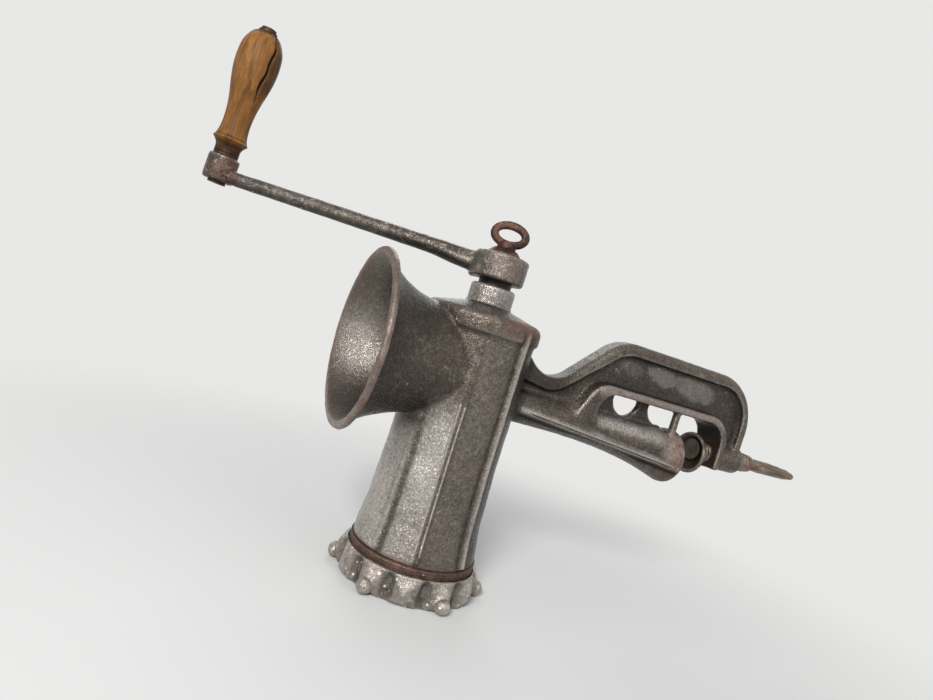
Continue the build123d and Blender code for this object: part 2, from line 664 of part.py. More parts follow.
def pressure_cup():
    """Dished disc hung loosely on the nose of the clamp screw."""
    floor = CUP_BACK_X - CUP_WALL
    hole = NOSE_R + CUP_HANG + RUN_FIT
    pocket = NOSE_HEAD_R + CUP_HANG + PLAY
    axis_z = SCREW_Z - CUP_HANG
    outline = [(CUP_X, CUP_R - CUP_EDGE), (CUP_X, CUP_R), (CUP_X + CUP_EDGE, CUP_R)]
    outline += [(CUP_BACK_X, pocket), (CUP_BACK_X, hole), (floor, hole), (floor, pocket)]
    points = [(x, 0, axis_z + radius) for x, radius in outline]
    return turned(points, Axis((0, 0, axis_z), (1, 0, 0)))


def clamp_screw():
    """Threaded spindle with a peened nose in the cup and a flat wing outside."""
    floor = CUP_BACK_X - CUP_WALL
    shoulder = CUP_BACK_X + PLAY
    outline = [(floor - PLAY - NOSE_HEAD_T, 0), (floor - PLAY - NOSE_HEAD_T, NOSE_HEAD_R)]
    outline += [(floor - PLAY, NOSE_HEAD_R), (floor - PLAY, NOSE_R), (shoulder, NOSE_R)]
    root = SCREW_R - SCREW_DEPTH
    thread = ridges(root, SCREW_R, shoulder, WING_X, SCREW_PITCH)
    outline += [(place, radius) for radius, place in thread]
    outline += [(WING_X, root), (WING_X + SCREW_R, root), (WING_X + SCREW_R, 0)]
    points = [(x, 0, SCREW_Z + radius) for x, radius in outline]
    return turned(points, Axis((0, 0, SCREW_Z), (1, 0, 0))) + wing()


def wing():
    """Flat thumb plate that widens away from the screw."""
    tip = WING_X + WING_L
    half_root = WING_ROOT_W / 2
    half_tip = WING_TIP_W / 2
    corners = [(WING_X, -half_root), (tip, -half_tip), (tip, half_tip), (WING_X, half_root)]
    outline = FilletPolyline(*corners, radius=[0, half_tip / 2, half_tip / 2, 0], close=True)
    plate = Pos(0, 0, SCREW_Z) * extrude(make_face(outline), WING_T / 2, both=True)
    rims = plate.faces().sort_by(Axis.Z)
    return fillet(rims[0].edges() + rims[-1].edges(), WING_EDGE)


PARTS = {
    "body_casting": body_casting,
    "plate_key_pin": key_pin,
    "perforated_plate": perforated_plate,
    "screw_ring": screw_ring,
    "auger": auger,
    "auger_thrust_washer": thrust_washer,
    "knife_stud": knife_stud,
    "knife": knife,
    "crank_arm": crank_arm,
    "crank_screw_washer": collar_washer,
    "crank_eye_screw": eye_screw,
    "grip_spindle": grip_spindle,
    "grip_base_washer": lambda: grip_washer(GRIP_BASE_WASHER_R, BOSS_TOP_Z),
    "wooden_grip": wooden_grip,
    "grip_end_washer": lambda: grip_washer(GRIP_END_WASHER_R, END_WASHER_Z),
    "clamp_screw": clamp_screw,
    "pressure_cup": pressure_cup,
}

os.makedirs("parts", exist_ok=True)
for node, make in PARTS.items():
    export_step(make(), f"parts/{node}.step")
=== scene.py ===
import math

import bmesh
import bpy
import numpy as np
from mathutils import Matrix, Vector, noise
from mathutils.bvhtree import BVHTree


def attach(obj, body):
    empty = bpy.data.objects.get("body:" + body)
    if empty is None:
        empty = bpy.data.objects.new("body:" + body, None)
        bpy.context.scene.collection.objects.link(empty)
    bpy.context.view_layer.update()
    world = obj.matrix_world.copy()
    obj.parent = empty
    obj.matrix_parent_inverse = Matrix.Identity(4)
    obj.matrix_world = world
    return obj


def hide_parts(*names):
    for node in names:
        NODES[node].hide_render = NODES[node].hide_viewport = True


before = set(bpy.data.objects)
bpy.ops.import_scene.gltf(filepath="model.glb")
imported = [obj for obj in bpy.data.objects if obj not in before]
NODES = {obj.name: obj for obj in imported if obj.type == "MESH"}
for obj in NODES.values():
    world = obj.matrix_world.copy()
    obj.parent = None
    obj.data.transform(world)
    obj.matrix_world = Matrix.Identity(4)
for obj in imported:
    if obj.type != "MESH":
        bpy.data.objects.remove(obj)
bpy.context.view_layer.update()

scene = bpy.context.scene
MM = 0.001

# Camera, placed by fitting the round mouths of hopper and barrel
SENSOR_MM = 36.0
FOCAL_PX = 640
IMAGE_W = 933
CAMERA_AT = Vector((-0.1865, -0.3978, 0.1777))
CAMERA_RIGHT = Vector((0.8726, -0.3858, 0.2994))
CAMERA_FORWARD = Vector((0.4138, 0.9098, -0.0337))


def camera():
    """The photo's viewpoint, with its axes squared up."""
    data = bpy.data.cameras.new("camera")
    data.sensor_width = SENSOR_MM
    data.lens = SENSOR_MM * FOCAL_PX / IMAGE_W
    data.clip_start = 0.01
    data.clip_end = 100
    obj = bpy.data.objects.new("camera", data)
    scene.collection.objects.link(obj)
    forward = CAMERA_FORWARD.normalized()
    up = CAMERA_RIGHT.normalized().cross(forward).normalized()
    right = forward.cross(up)
    turn = Matrix((right, up, -forward)).transposed()
    obj.matrix_world = Matrix.Translation(CAMERA_AT) @ turn.to_4x4()
    scene.camera = obj


camera()


# Node helpers
class Mat:
    def __init__(self, name):
        self.mat = bpy.data.materials.new(name)
        self.mat.use_nodes = True
        self.tree = self.mat.node_tree
        self.tree.nodes.clear()
        self.out = self.add("ShaderNodeOutputMaterial")
        self.bsdf = self.add("ShaderNodeBsdfPrincipled")
        self.link(self.bsdf.outputs[0], self.out.inputs["Surface"])
        self.coords = self.add("ShaderNodeTexCoord").outputs["Object"]

    def add(self, kind, **props):
        node = self.tree.nodes.new(kind)
        for key, value in props.items():
            setattr(node, key, value)
        return node

    def link(self, source, target):
        self.tree.links.new(source, target)

    def put(self, target, value):
        if isinstance(value, bpy.types.NodeSocket):
            self.link(value, target)
        elif isinstance(value, (tuple, list)) and len(value) == 3 and target.type == "RGBA":
            target.default_value = (*value, 1)
        else:
            target.default_value = value

    def noise(self, scale, detail=4, rough=0.55, distort=0.0, coords=None):
        node = self.add("ShaderNodeTexNoise")
        node.inputs["Scale"].default_value = scale
        node.inputs["Detail"].default_value = detail
        node.inputs["Roughness"].default_value = rough
        node.inputs["Distortion"].default_value = distort
        self.link(coords or self.coords, node.inputs["Vector"])
        return node.outputs["Fac"]

    def stretch(self, scale):
        node = self.add("ShaderNodeMapping")
        node.inputs["Scale"].default_value = scale
        self.link(self.coords, node.inputs["Vector"])
        return node.outputs[0]

    def ramp(self, value, low, high, a=0.0, b=1.0):
        node = self.add("ShaderNodeMapRange", interpolation_type="SMOOTHSTEP")
        self.link(value, node.inputs["Value"])
        for key, number in zip(("From Min", "From Max", "To Min", "To Max"), (low, high, a, b)):
            node.inputs[key].default_value = number
        return node.outputs[0]

    def math(self, kind, a, b):
        node = self.add("ShaderNodeMath", operation=kind)
        self.put(node.inputs[0], a)
        self.put(node.inputs[1], b)
        return node.outputs[0]

    def times(self, a, b):
        return self.math("MULTIPLY", a, b)

    def mix(self, factor, a, b):
        node = self.add("ShaderNodeMix", data_type="RGBA")
        self.put(node.inputs[0], factor)
        self.put(node.inputs[6], a)
        self.put(node.inputs[7], b)
        return node.outputs[2]

    def attribute(self, name):
        return self.add("ShaderNodeAttribute", attribute_name=name).outputs["Fac"]

    def specks(self, color, scale, size, share, strength):
        """Lays pale dried specks over a colour, in a share of the cells."""
        cells = self.add("ShaderNodeTexVoronoi")
        cells.inputs["Scale"].default_value = scale
        self.link(self.coords, cells.inputs["Vector"])
        small = self.add("ShaderNodeMapRange")
        for key, number in (("From Min", size), ("From Max", size * 0.6), ("To Max", strength)):
            small.inputs[key].default_value = number
        self.link(cells.outputs["Distance"], small.inputs["Value"])
        pick = self.add("ShaderNodeSeparateColor")
        self.link(cells.outputs["Color"], pick.inputs[0])
        chosen = self.math("LESS_THAN", pick.outputs[0], share)
        return self.mix(self.times(small.outputs[0], chosen), color, DRIED)

    def bump(self, heights):
        """Stacks pairs of height and depth in metres."""
        normal = None
        for height, depth in heights:
            node = self.add("ShaderNodeBump")
            node.inputs["Distance"].default_value = depth
            node.inputs["Strength"].default_value = 1.0
            self.link(height, node.inputs["Height"])
            if normal is not None:
                self.link(normal, node.inputs["Normal"])
            normal = node.outputs[0]
        self.link(normal, self.bsdf.inputs["Normal"])

    def finish(self, color, roughness, metallic):
        self.put(self.bsdf.inputs["Base Color"], color)
        self.put(self.bsdf.inputs["Roughness"], roughness)
        self.put(self.bsdf.inputs["Metallic"], metallic)
        return self.mat


def srgb(r, g, b):
    """Linear colour from screen values out of 255."""
    return tuple((c / 255 / 12.92) if c <= 10 else ((c / 255 + 0.055) / 1.055) ** 2.4 for c in (r, g, b))


# Stage
PALE = srgb(232, 232, 230)
PAPER = srgb(214, 214, 212)
SKY = (0.95, 0.97, 1.0)


def stage():
    """Pale studio: soft light from above, one plain tone behind and below."""
    world = bpy.data.worlds.new("studio")
    scene.world = world
    world.use_nodes = True
    tree = world.node_tree
    tree.nodes.clear()
    out = tree.nodes.new("ShaderNodeOutputWorld")
    path = tree.nodes.new("ShaderNodeLightPath")
    coords = tree.nodes.new("ShaderNodeTexCoord")
    split = tree.nodes.new("ShaderNodeSeparateXYZ")
    tree.links.new(coords.outputs["Generated"], split.inputs[0])
    height = tree.nodes.new("ShaderNodeMapRange")
    for key, value in (("From Min", -0.6), ("From Max", 1.0), ("To Min", 0.06), ("To Max", 0.62)):
        height.inputs[key].default_value = value
    tree.links.new(split.outputs["Z"], height.inputs["Value"])
    light = tree.nodes.new("ShaderNodeBackground")
    light.inputs[0].default_value = (*SKY, 1)
    tree.links.new(height.outputs[0], light.inputs[1])
    seen = tree.nodes.new("ShaderNodeBackground")
    seen.inputs[0].default_value = (*PALE, 1)
    seen_by = path.outputs["Is Camera Ray"]
    for ray in ("Is Glossy Ray", "Is Transmission Ray"):
        both = tree.nodes.new("ShaderNodeMath")
        both.operation = "MAXIMUM"
        tree.links.new(seen_by, both.inputs[0])
        tree.links.new(path.outputs[ray], both.inputs[1])
        seen_by = both.outputs[0]
    mix = tree.nodes.new("ShaderNodeMixShader")
    tree.links.new(seen_by, mix.inputs[0])
    tree.links.new(light.outputs[0], mix.inputs[1])
    tree.links.new(seen.outputs[0], mix.inputs[2])
    tree.links.new(mix.outputs[0], out.inputs[0])

    bpy.ops.mesh.primitive_circle_add(vertices=128, radius=0.9, fill_type="NGON",
                                      location=(0.03, 0.02, -0.0003))
    floor = bpy.context.object
    floor.name = "floor"
    mat = Mat("floor_paper")
    away = mat.add("ShaderNodeVectorMath", operation="LENGTH")
    mat.link(mat.coords, away.inputs[0])
    fade = mat.ramp(away.outputs["Value"], 0.10, 0.60, 1.0, 0.0)
    mat.finish(PAPER, 0.9, 0.0)
    mat.put(mat.bsdf.inputs["Specular IOR Level"], 0.0)
    mat.put(mat.bsdf.inputs["Alpha"], fade)
    floor.data.materials.append(mat.mat)


def lamp(name, location, target, size, power):
    """A round soft lamp aimed at a point."""
    data = bpy.data.lights.new(name, "AREA")
    data.shape = "DISK"
    data.size = size
    data.energy = power
    obj = bpy.data.objects.new(name, data)
    obj.location = location
    aim = Vector(target) - Vector(location)
    obj.rotation_mode = "QUATERNION"
    obj.rotation_quaternion = aim.to_track_quat("-Z", "Y")
    scene.collection.objects.link(obj)


stage()
lamp("key", (-0.80, -1.00, 0.85), (0.02, 0, 0.14), 0.40, 21)
lamp("fill", (0.9, -1.2, 0.6), (0.05, 0, 0.14), 0.9, 1.8)
lamp("back", (0.3, 1.1, 1.1), (0.05, 0, 0.15), 0.7, 4.5)


# Materials
DARK = srgb(57, 48, 40)
GREY = srgb(89, 79, 69)
SILVER = srgb(196, 189, 182)
BROWN = srgb(102, 82, 63)
RUST = srgb(130, 78, 55)
OLD_RUST = srgb(80, 56, 43)
SOOT_AND_SHADE = srgb(28, 24, 20)
SOFT_SHADE = srgb(40, 34, 29)
DIM = srgb(44, 38, 33)
BARE_PATCH = srgb(122, 117, 111)
LINING = srgb(88, 76, 66)
EDGE_WEAR_AND_HIGHLIGHT = srgb(172, 163, 153)
CHIP = srgb(196, 189, 180)
DRIED = srgb(226, 222, 216)
WOOD_DARK = srgb(104, 67, 33)
WOOD_LIGHT = srgb(156, 109, 57)
WOOD_FIBRE = srgb(78, 44, 18)
WOOD_PORE = srgb(52, 32, 18)
WOOD_STAIN = srgb(82, 54, 30)
WOOD_FLECK = srgb(64, 42, 25)
WOOD_DIRT_AND_SHADE = srgb(26, 14, 7)
WOOD_CRACK = srgb(18, 11, 7)


def iron(name, dark, grey, silver, shine, specks, chips=0.12):
    """Old sand-cast iron: soft grey and brown, silvery where handled and lighter where highlights are
    painted, with painted shade in its corners and shaded places.
    """
    m = Mat(name)
    blot = m.noise(38, 4, 0.55)
    spots = m.noise(210, 5, 0.6, 0.3)
    sand = m.noise(560, 4, 0.6)
    grain = m.noise(1250, 3, 0.7)
    wear_and_highlight, edge, painted_shade = m.attribute("wear_and_highlight"), m.attribute("edge"), m.attribute("painted_shade")
    rust, web, patch, lining, painted_soft_shade = (m.attribute(k) for k in ("rust", "web", "patch", "lining", "painted_soft_shade"))
    color = m.mix(m.ramp(blot, 0.3, 0.7), dark, grey)
    color = m.mix(m.ramp(sand, 0.45, 0.8, 0.0, 0.18), color, silver)
    color = m.mix(m.ramp(m.noise(95, 4, 0.6, 0.5), 0.5, 0.75, 0.0, 0.28), color, BROWN)
    # darker on the leg's web, and painted shade on the hopper's outside and underside and beyond the bead
    color = m.mix(m.times(web, 0.6), color, DIM)
    color = m.mix(m.times(patch, 0.6), color, BARE_PATCH)
    color = m.mix(m.times(lining, 0.65), color, LINING)
    # lighter where the metal shows through with wear, and painted highlights, as the mesh marks them
    brightened = m.times(wear_and_highlight, m.ramp(sand, 0.32, 0.64, 0.55, 1.0))
    color = m.mix(brightened, color, silver)
    # lighter edges: wear, and a painted highlight along them
    color = m.mix(m.times(edge, 0.7), color, EDGE_WEAR_AND_HIGHLIGHT)
    red = m.times(rust, m.ramp(spots, 0.3, 0.6, 0.3, 1.0))
    color = m.mix(red, color, m.mix(grain, RUST, OLD_RUST))
    flake = m.noise(190, 6, 0.72, 0.8)
    color = m.mix(m.ramp(flake, 0.55, 0.63, 0.0, chips), color, CHIP)
    color = m.mix(m.ramp(flake, 0.36, 0.45, chips, 0.0), color, SOOT_AND_SHADE)
    # painted glints: fine silver specks on the grain
    color = m.mix(m.ramp(grain, 0.58, 0.72, 0.0, 0.42), color, silver)
    color = m.mix(m.ramp(sand, 0.3, 0.47, 0.14, 0.0), color, SOOT_AND_SHADE)
    # painted shade, broad and soft, where the mesh marks it
    color = m.mix(m.times(painted_soft_shade, 0.75), color, SOFT_SHADE)
    # painted shade, dark, in creases, under things and in other shaded places
    color = m.mix(m.times(painted_shade, 0.85), color, SOOT_AND_SHADE)
    color = m.mix(m.ramp(grain, 0.28, 0.52, 0.55, 0.0), color, SOOT_AND_SHADE)
    color = m.specks(color, *specks)
    m.bump([(spots, 0.0004), (sand, 0.00035), (grain, 0.0003)])
    rough = m.math("ADD", m.ramp(sand, 0.3, 0.7, shine + 0.06, shine - 0.08), m.times(red, 0.25))
    metal = m.math("SUBTRACT", m.ramp(blot, 0.3, 0.7, 0.5, 0.68), m.times(red, 0.4))
    # the painted shade also takes away metal and reflection
    unshaded = m.ramp(painted_shade, 0.2, 1.0, 1.0, 0.1)
    m.put(m.bsdf.inputs["Specular IOR Level"], m.times(unshaded, 0.5))
    return m.finish(color, rough, m.times(metal, unshaded))


def plain_iron(name, dark, light, rust, shine, along=(1, 1, 1), shade_above=None, hollows=True):
    """Handled iron, with painted shade where its mesh marks it and above a given height."""
    m = Mat(name)
    long = m.stretch(along)
    blot = m.noise(55, 5, 0.6, coords=long)
    spots = m.noise(260, 5, 0.65, 0.4, coords=long)
    grain = m.noise(1500, 3, 0.7)
    color = m.mix(m.ramp(blot, 0.3, 0.7), dark, light)
    color = m.mix(m.ramp(spots, 0.5, 0.75, 0.0, 0.6), color, tuple(min(1, c * 1.9) for c in light))
    brown = m.ramp(m.noise(90, 5, 0.65, 0.6), 0.62 - rust * 0.3, 0.78 - rust * 0.3)
    color = m.mix(brown, color, m.mix(grain, RUST, OLD_RUST))
    color = m.mix(m.ramp(grain, 0.35, 0.75, 0.35, 0.0), color, SOOT_AND_SHADE)
    metal = m.ramp(brown, 0.0, 1.0, 0.65, 0.25)
    # painted shade where the mesh marks it, which also takes away metal and reflection
    if hollows:
        painted_shade = m.attribute("painted_shade")
        color = m.mix(m.times(painted_shade, 0.9), color, SOOT_AND_SHADE)
        unshaded = m.ramp(painted_shade, 0.2, 1.0, 1.0, 0.1)
        metal = m.times(metal, unshaded)
        m.put(m.bsdf.inputs["Specular IOR Level"], m.times(unshaded, 0.5))
    # painted shade above a given height
    if shade_above:
        height = m.add("ShaderNodeSeparateXYZ")
        m.link(m.coords, height.inputs[0])
        color = m.mix(m.ramp(height.outputs["Z"], shade_above - 0.004, shade_above, 0.0, 0.95), color, SOOT_AND_SHADE)
    m.bump([(spots, 0.0005), (grain, 0.00025)])
    rough = m.math("ADD", m.ramp(spots, 0.3, 0.7, shine + 0.1, shine - 0.06), m.times(brown, 0.2))
    return m.finish(color, rough, metal)


def steel(name, tone, shine):
    """Ground steel with fine turning marks and a few stains."""
    m = Mat(name)
    marks = m.noise(700, 3, 0.6, coords=m.stretch((1, 1, 0.15)))
    stain = m.noise(80, 5, 0.65, 0.5)
    color = m.mix(marks, tuple(c * 0.75 for c in tone), tone)
    color = m.mix(m.ramp(stain, 0.55, 0.75, 0.0, 0.6), color, BROWN)
    m.bump([(marks, 0.00008)])
    return m.finish(color, m.ramp(stain, 0.4, 0.7, shine, shine + 0.2), 0.95)


def wood(name):
    """Oiled hardwood: long fibres, pores, darker ends and painted shade where the mesh marks it."""
    m = Mat(name)
    long = m.stretch((1, 1, 0.07))
    fibre = m.noise(520, 6, 0.62, 0.3, coords=long)
    figure = m.noise(120, 4, 0.6, 1.2, coords=long)
    pores = m.noise(1700, 2, 0.5, coords=long)
    stain = m.noise(75, 6, 0.7, 0.6)
    color = m.mix(m.ramp(figure, 0.3, 0.72), WOOD_DARK, WOOD_LIGHT)
    color = m.mix(m.ramp(fibre, 0.4, 0.75, 0.0, 0.6), color, WOOD_FIBRE)
    color = m.mix(m.ramp(pores, 0.6, 0.78, 0.0, 0.6), color, WOOD_PORE)
    color = m.mix(m.ramp(stain, 0.5, 0.72, 0.0, 0.55), color, WOOD_STAIN)
    color = m.mix(m.ramp(m.noise(640, 4, 0.7), 0.6, 0.72, 0.0, 0.5), color, WOOD_FLECK)
    # darker at the foot, the end and the collar's line, and painted shade beside the crack, as the mesh marks
    # them
    color = m.mix(m.times(m.attribute("dirt_and_shade"), 0.97), color, WOOD_DIRT_AND_SHADE)
    color = m.mix(m.attribute("crack"), color, WOOD_CRACK)
    m.bump([(fibre, 0.00025), (pores, 0.00012)])
    m.put(m.bsdf.inputs["Specular IOR Level"], 0.16)
    return m.finish(color, m.ramp(fibre, 0.3, 0.7, 0.42, 0.6), 0.0)


# Mesh helpers
CELLS = 4096


def value_noise(points, scale, seed=0, octaves=3):
    """Smooth noise from -1 to 1 at points in metres, with features of about scale metres."""
    total = np.zeros(len(points))
    weight = 0.0
    for octave in range(octaves):
        q = points / scale * 2 ** octave + 37.0 + seed * 11.3
        cell = np.floor(q).astype(np.int64)
        t = q - cell
        t = t * t * (3 - 2 * t)
        table = np.random.RandomState(seed + octave).rand(CELLS)
        found = np.zeros(len(points))
        for corner in range(8):
            step = np.array([corner & 1, corner >> 1 & 1, corner >> 2 & 1])
            c = cell + step
            key = (c[:, 0] * 73856093 ^ c[:, 1] * 19349663 ^ c[:, 2] * 83492791) % CELLS
            part = np.where(step, t, 1 - t).prod(axis=1)
            found += table[key] * part
        total += (found * 2 - 1) * 0.5 ** octave
        weight += 0.5 ** octave
    return total / weight


def smooth_step(x, low, high):
    t = np.clip((x - low) / (high - low), 0, 1)
    return t * t * (3 - 2 * t)


def band(x, a, b, c, d):
    """Rises from 0 to 1 between a and b and falls back between c and d."""
    return smooth_step(x, a, b) * (1 - smooth_step(x, c, d))


def bell(x, wide):
    return np.exp(-(x / wide) ** 2)


class Shape:
    """A mesh's points and edges as arrays, moved in steps and written back."""

    def __init__(self, obj):
        self.obj = obj
        me = obj.data
        self.count = len(me.vertices)
        self.co = np.zeros(self.count * 3)
        me.vertices.foreach_get("co", self.co)
        self.co = self.co.reshape(-1, 3)
        ends = np.zeros(len(me.edges) * 2, np.int32)
        me.edges.foreach_get("vertices", ends)
        self.a, self.b = ends.reshape(-1, 2).T
        self.degree = np.bincount(np.r_[self.a, self.b], minlength=self.count).clip(1)

    def spread(self, field):
        """Mean of a field over each point's neighbours."""
        if field.ndim == 1:
            near = np.bincount(self.a, field[self.b], self.count)
            near += np.bincount(self.b, field[self.a], self.count)
            return near / self.degree
        return np.stack([self.spread(field[:, k]) for k in range(field.shape[1])], axis=1)

    def blur(self, field, rounds):
        for _ in range(rounds):
            field = 0.5 * field + 0.5 * self.spread(field)
        return field

    def write(self):
        me = self.obj.data
        me.vertices.foreach_set("co", self.co.ravel())
        me.update()

    def normals(self):
        self.write()
        n = np.zeros(self.count * 3)
        self.obj.data.vertices.foreach_get("normal", n)
        return n.reshape(-1, 3)

    def fair(self, rounds):
        """Smooths without shrinking."""
        for _ in range(rounds):
            for rate in (0.5, -0.52):
                self.co += rate * (self.spread(self.co) - self.co)

    def fill_corners(self, rounds, radius, step, where, fresh=6):
        """Raises inside corners tighter than a radius into fillets, where a weight says so."""
        slack = step * step / (2 * radius)
        inside = where > 0
        used = inside[self.a] | inside[self.b]
        points, ends = np.unique(np.r_[self.a[used], self.b[used]], return_inverse=True)
        a, b = ends.ravel().reshape(2, -1)
        degree = np.bincount(np.r_[a, b], minlength=len(points)).clip(1)
        weight = where[points] * 0.6
        co = self.co[points]
        for turn in range(rounds):
            if turn % fresh == 0:
                self.co[points] = co
                n = self.normals()[points]
            rise = np.zeros(len(points))
            for k in range(3):
                mean = np.bincount(a, co[b, k], len(points)) + np.bincount(b, co[a, k], len(points))
                rise += (mean / degree - co[:, k]) * n[:, k]
            co += n * (np.clip(rise - slack, 0, None) * weight)[:, None]
        self.co[points] = co

    def bend(self):
        """How far each point stands out from its neighbours, in metres, outside corners positive."""
        n = self.normals()
        return self.blur(-((self.spread(self.co) - self.co) * n).sum(axis=1), 3)

    def push(self, amount):
        self.co += self.normals() * amount[:, None]

    def attribute(self, name, field):
        layer = self.obj.data.attributes.new(name, "FLOAT", "POINT")
        layer.data.foreach_set("value", np.clip(field, 0, 1).astype(np.float32))

    def done(self):
        self.write()
        self.obj.data.polygons.foreach_set("use_smooth", np.ones(len(self.obj.data.polygons), bool))
        return self.obj


def mesh_object(name, bm, outward=True):
    """A smooth object from a bmesh, which is freed."""
    if outward:
        bmesh.ops.recalc_face_normals(bm, faces=bm.faces)
    me = bpy.data.meshes.new(name)
    bm.to_mesh(me)
    bm.free()
    me.polygons.foreach_set("use_smooth", np.ones(len(me.polygons), bool))
    obj = bpy.data.objects.new(name, me)
    scene.collection.objects.link(obj)
    return obj


def join_rows(bm, rows):
    """Faces between each row of points and the next, closed around."""
    for low, high in zip(rows, rows[1:]):
        for k in range(len(low)):
            n = (k + 1) % len(low)
            bm.faces.new((low[k], low[n], high[n], high[k]))


def circle(sides):
    """Cosine and sine of evenly spaced angles."""
    return [(math.cos(a), math.sin(a)) for a in (2 * math.pi * k / sides for k in range(sides))]


def crest(turns, top, slope):
    """Height of a flat-topped thread from 0 to 1, after a number of turns."""
    return min(1, max(0, top - abs(turns % 1 - 0.5) * slope))


def remeshed(node, name, voxel):
    """A copy of a node's mesh, rebuilt as an even skin."""
    bm = bmesh.new()
    bm.from_mesh(NODES[node].data)
    bmesh.ops.remove_doubles(bm, verts=bm.verts, dist=1e-6)
    obj = mesh_object(name, bm, outward=False)
    mod = obj.modifiers.new("skin", "REMESH")
    mod.mode = "VOXEL"
    mod.voxel_size = voxel
    bpy.context.view_layer.update()
    skin = bpy.data.meshes.new_from_object(obj.evaluated_get(bpy.context.evaluated_depsgraph_get()))
    obj.modifiers.clear()
    obj.data = skin
    skin.materials.clear()
    return obj


def dress(obj, body, mat, slot, *nodes):
    """Gives a piece its material and body, in place of any nodes; its slot is not used."""
    obj.data.materials.clear()
    obj.data.materials.append(mat)
    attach(obj, body)
    if nodes:
        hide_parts(*nodes)
    return obj


def lathe(name, profile, sides, place):
    """A turned mesh from radius and height pairs in millimetres, closed end to start."""
    bm = bmesh.new()
    rings = [[bm.verts.new(place @ Vector((r * c, r * s, z)) * MM) for c, s in circle(sides)]
             for r, z in profile]
    join_rows(bm, rings + rings[:1])
    return mesh_object(name, bm)


def smooth_profile(points, per=7):
    """Rounded run of radius and height pairs through the given ones."""
    pts = [Vector((*p, 0)) for p in points]
    out = []
    for k in range(len(pts) - 1):
        p0, p1, p2, p3 = pts[max(k - 1, 0)], pts[k], pts[k + 1], pts[min(k + 2, len(pts) - 1)]
        for s in range(per):
            t = s / per
            q = 0.5 * (2 * p1 + (p2 - p0) * t + (2 * p0 - 5 * p1 + 4 * p2 - p3) * t * t
                       + (3 * p1 - p0 - 3 * p2 + p3) * t ** 3)
            out.append((q.x, q.y))
    return out + [tuple(points[-1])]


# Places of the casting and the crank, in metres and degrees
HOPPER_X = -0.0818
HOPPER_Z = 0.152
HOPPER_R = 0.0577
SCREW_MM = 137.5
SCREW_Z = SCREW_MM / 1000
SCREW_HOLE_R = 0.0086
WALL_X = 0.231
SHANK_R = 0.0115
BORE_R = 0.0349
REAR_Z = 0.1815
NECK_Z = 0.178
MOUTH_R = 0.0414
MOUTH_Z = 0.0139
SEAT_Z = 0.0144
VOXEL = 0.0010
FINE_VOXEL = 0.0008
EYE_VOXEL = 0.0005
BEAD_ANGLE = 64.0
LINE_ANGLE = 109.5
STEP_ANGLE = 147.0
COLLAR_Z = 0.0264
RIDGE_X = (0.0387, 0.1900)
RIDGE_Z = (0.1350, 0.1210)
CRANK_ANGLE = 145
CRANK_R = 0.225
BOSS_X = 0.205
BOSS_MM = 226.15
BOSS_LEAN = -3
BOSS_BORE_R = 0.0065
EYE_ANGLE = -25
EYE_TOP = 0.00925
RING_LOBES = 12


def polar(co):
    """Distance from the barrel's axis and angle round it in degrees."""
    return np.hypot(co[:, 0], co[:, 1]), np.degrees(np.arctan2(co[:, 1], co[:, 0]))


def grown(radius, cut, least):
    """Factors that move points out to a least radius, where a cut says so."""
    return np.where(cut & (radius < least), least / radius.clip(1e-6), 1)[:, None]


def ridge_drop(x, z):
    """Height above the flange's edge along the leg's lower branch."""
    return z - np.interp(x, RIDGE_X, RIDGE_Z)


def barrel_radius(z):
    """The barrel's outside, which widens towards its thread, in metres."""
    return np.interp(z, (COLLAR_Z, 0.0465, 0.0895), (0.0431, 0.0403, 0.0387))


GOLDEN_TURN = 2.39996


def occlusion(s, node, reach=0.045, rays=32, cell=0.005):
    """Share of the sky that each point's surroundings hide, measured on one point per cell."""
    me = NODES[node].data
    tree = BVHTree.FromPolygons([v.co for v in me.vertices], [tuple(f.vertices) for f in me.polygons])
    n = s.normals()
    key = np.floor(s.co / cell).astype(np.int64) + 4096
    side = (n > 0).astype(np.int64)
    code = ((key[:, 0] * 8192 + key[:, 1]) * 8192 + key[:, 2]) * 8 + side @ np.array([1, 2, 4])
    _, first, back = np.unique(code, return_index=True, return_inverse=True)
    turn = np.arange(rays) * GOLDEN_TURN
    flat = np.sqrt((np.arange(rays) + 0.5) / rays)
    fan = np.stack([flat * np.cos(turn), flat * np.sin(turn), np.sqrt(1 - flat ** 2)], axis=1)
    hidden = np.zeros(len(first))
    for i, point in enumerate(first):
        up = n[point]
        side_way = np.cross(up, (0.0, 0.0, 1.0) if abs(up[2]) < 0.9 else (1.0, 0.0, 0.0))
        side_way /= np.linalg.norm(side_way)
        basis = np.stack([side_way, np.cross(up, side_way), up])
        start = Vector(s.co[point] + up * 0.0012)
        total = 0.0
        for way in fan @ basis:
            hit = tree.ray_cast(start, Vector(way), reach)
            if hit[0] is not None:
                total += 1 - hit[3] / reach
        hidden[i] = total / rays
    return s.blur(hidden[back.ravel()], 14)


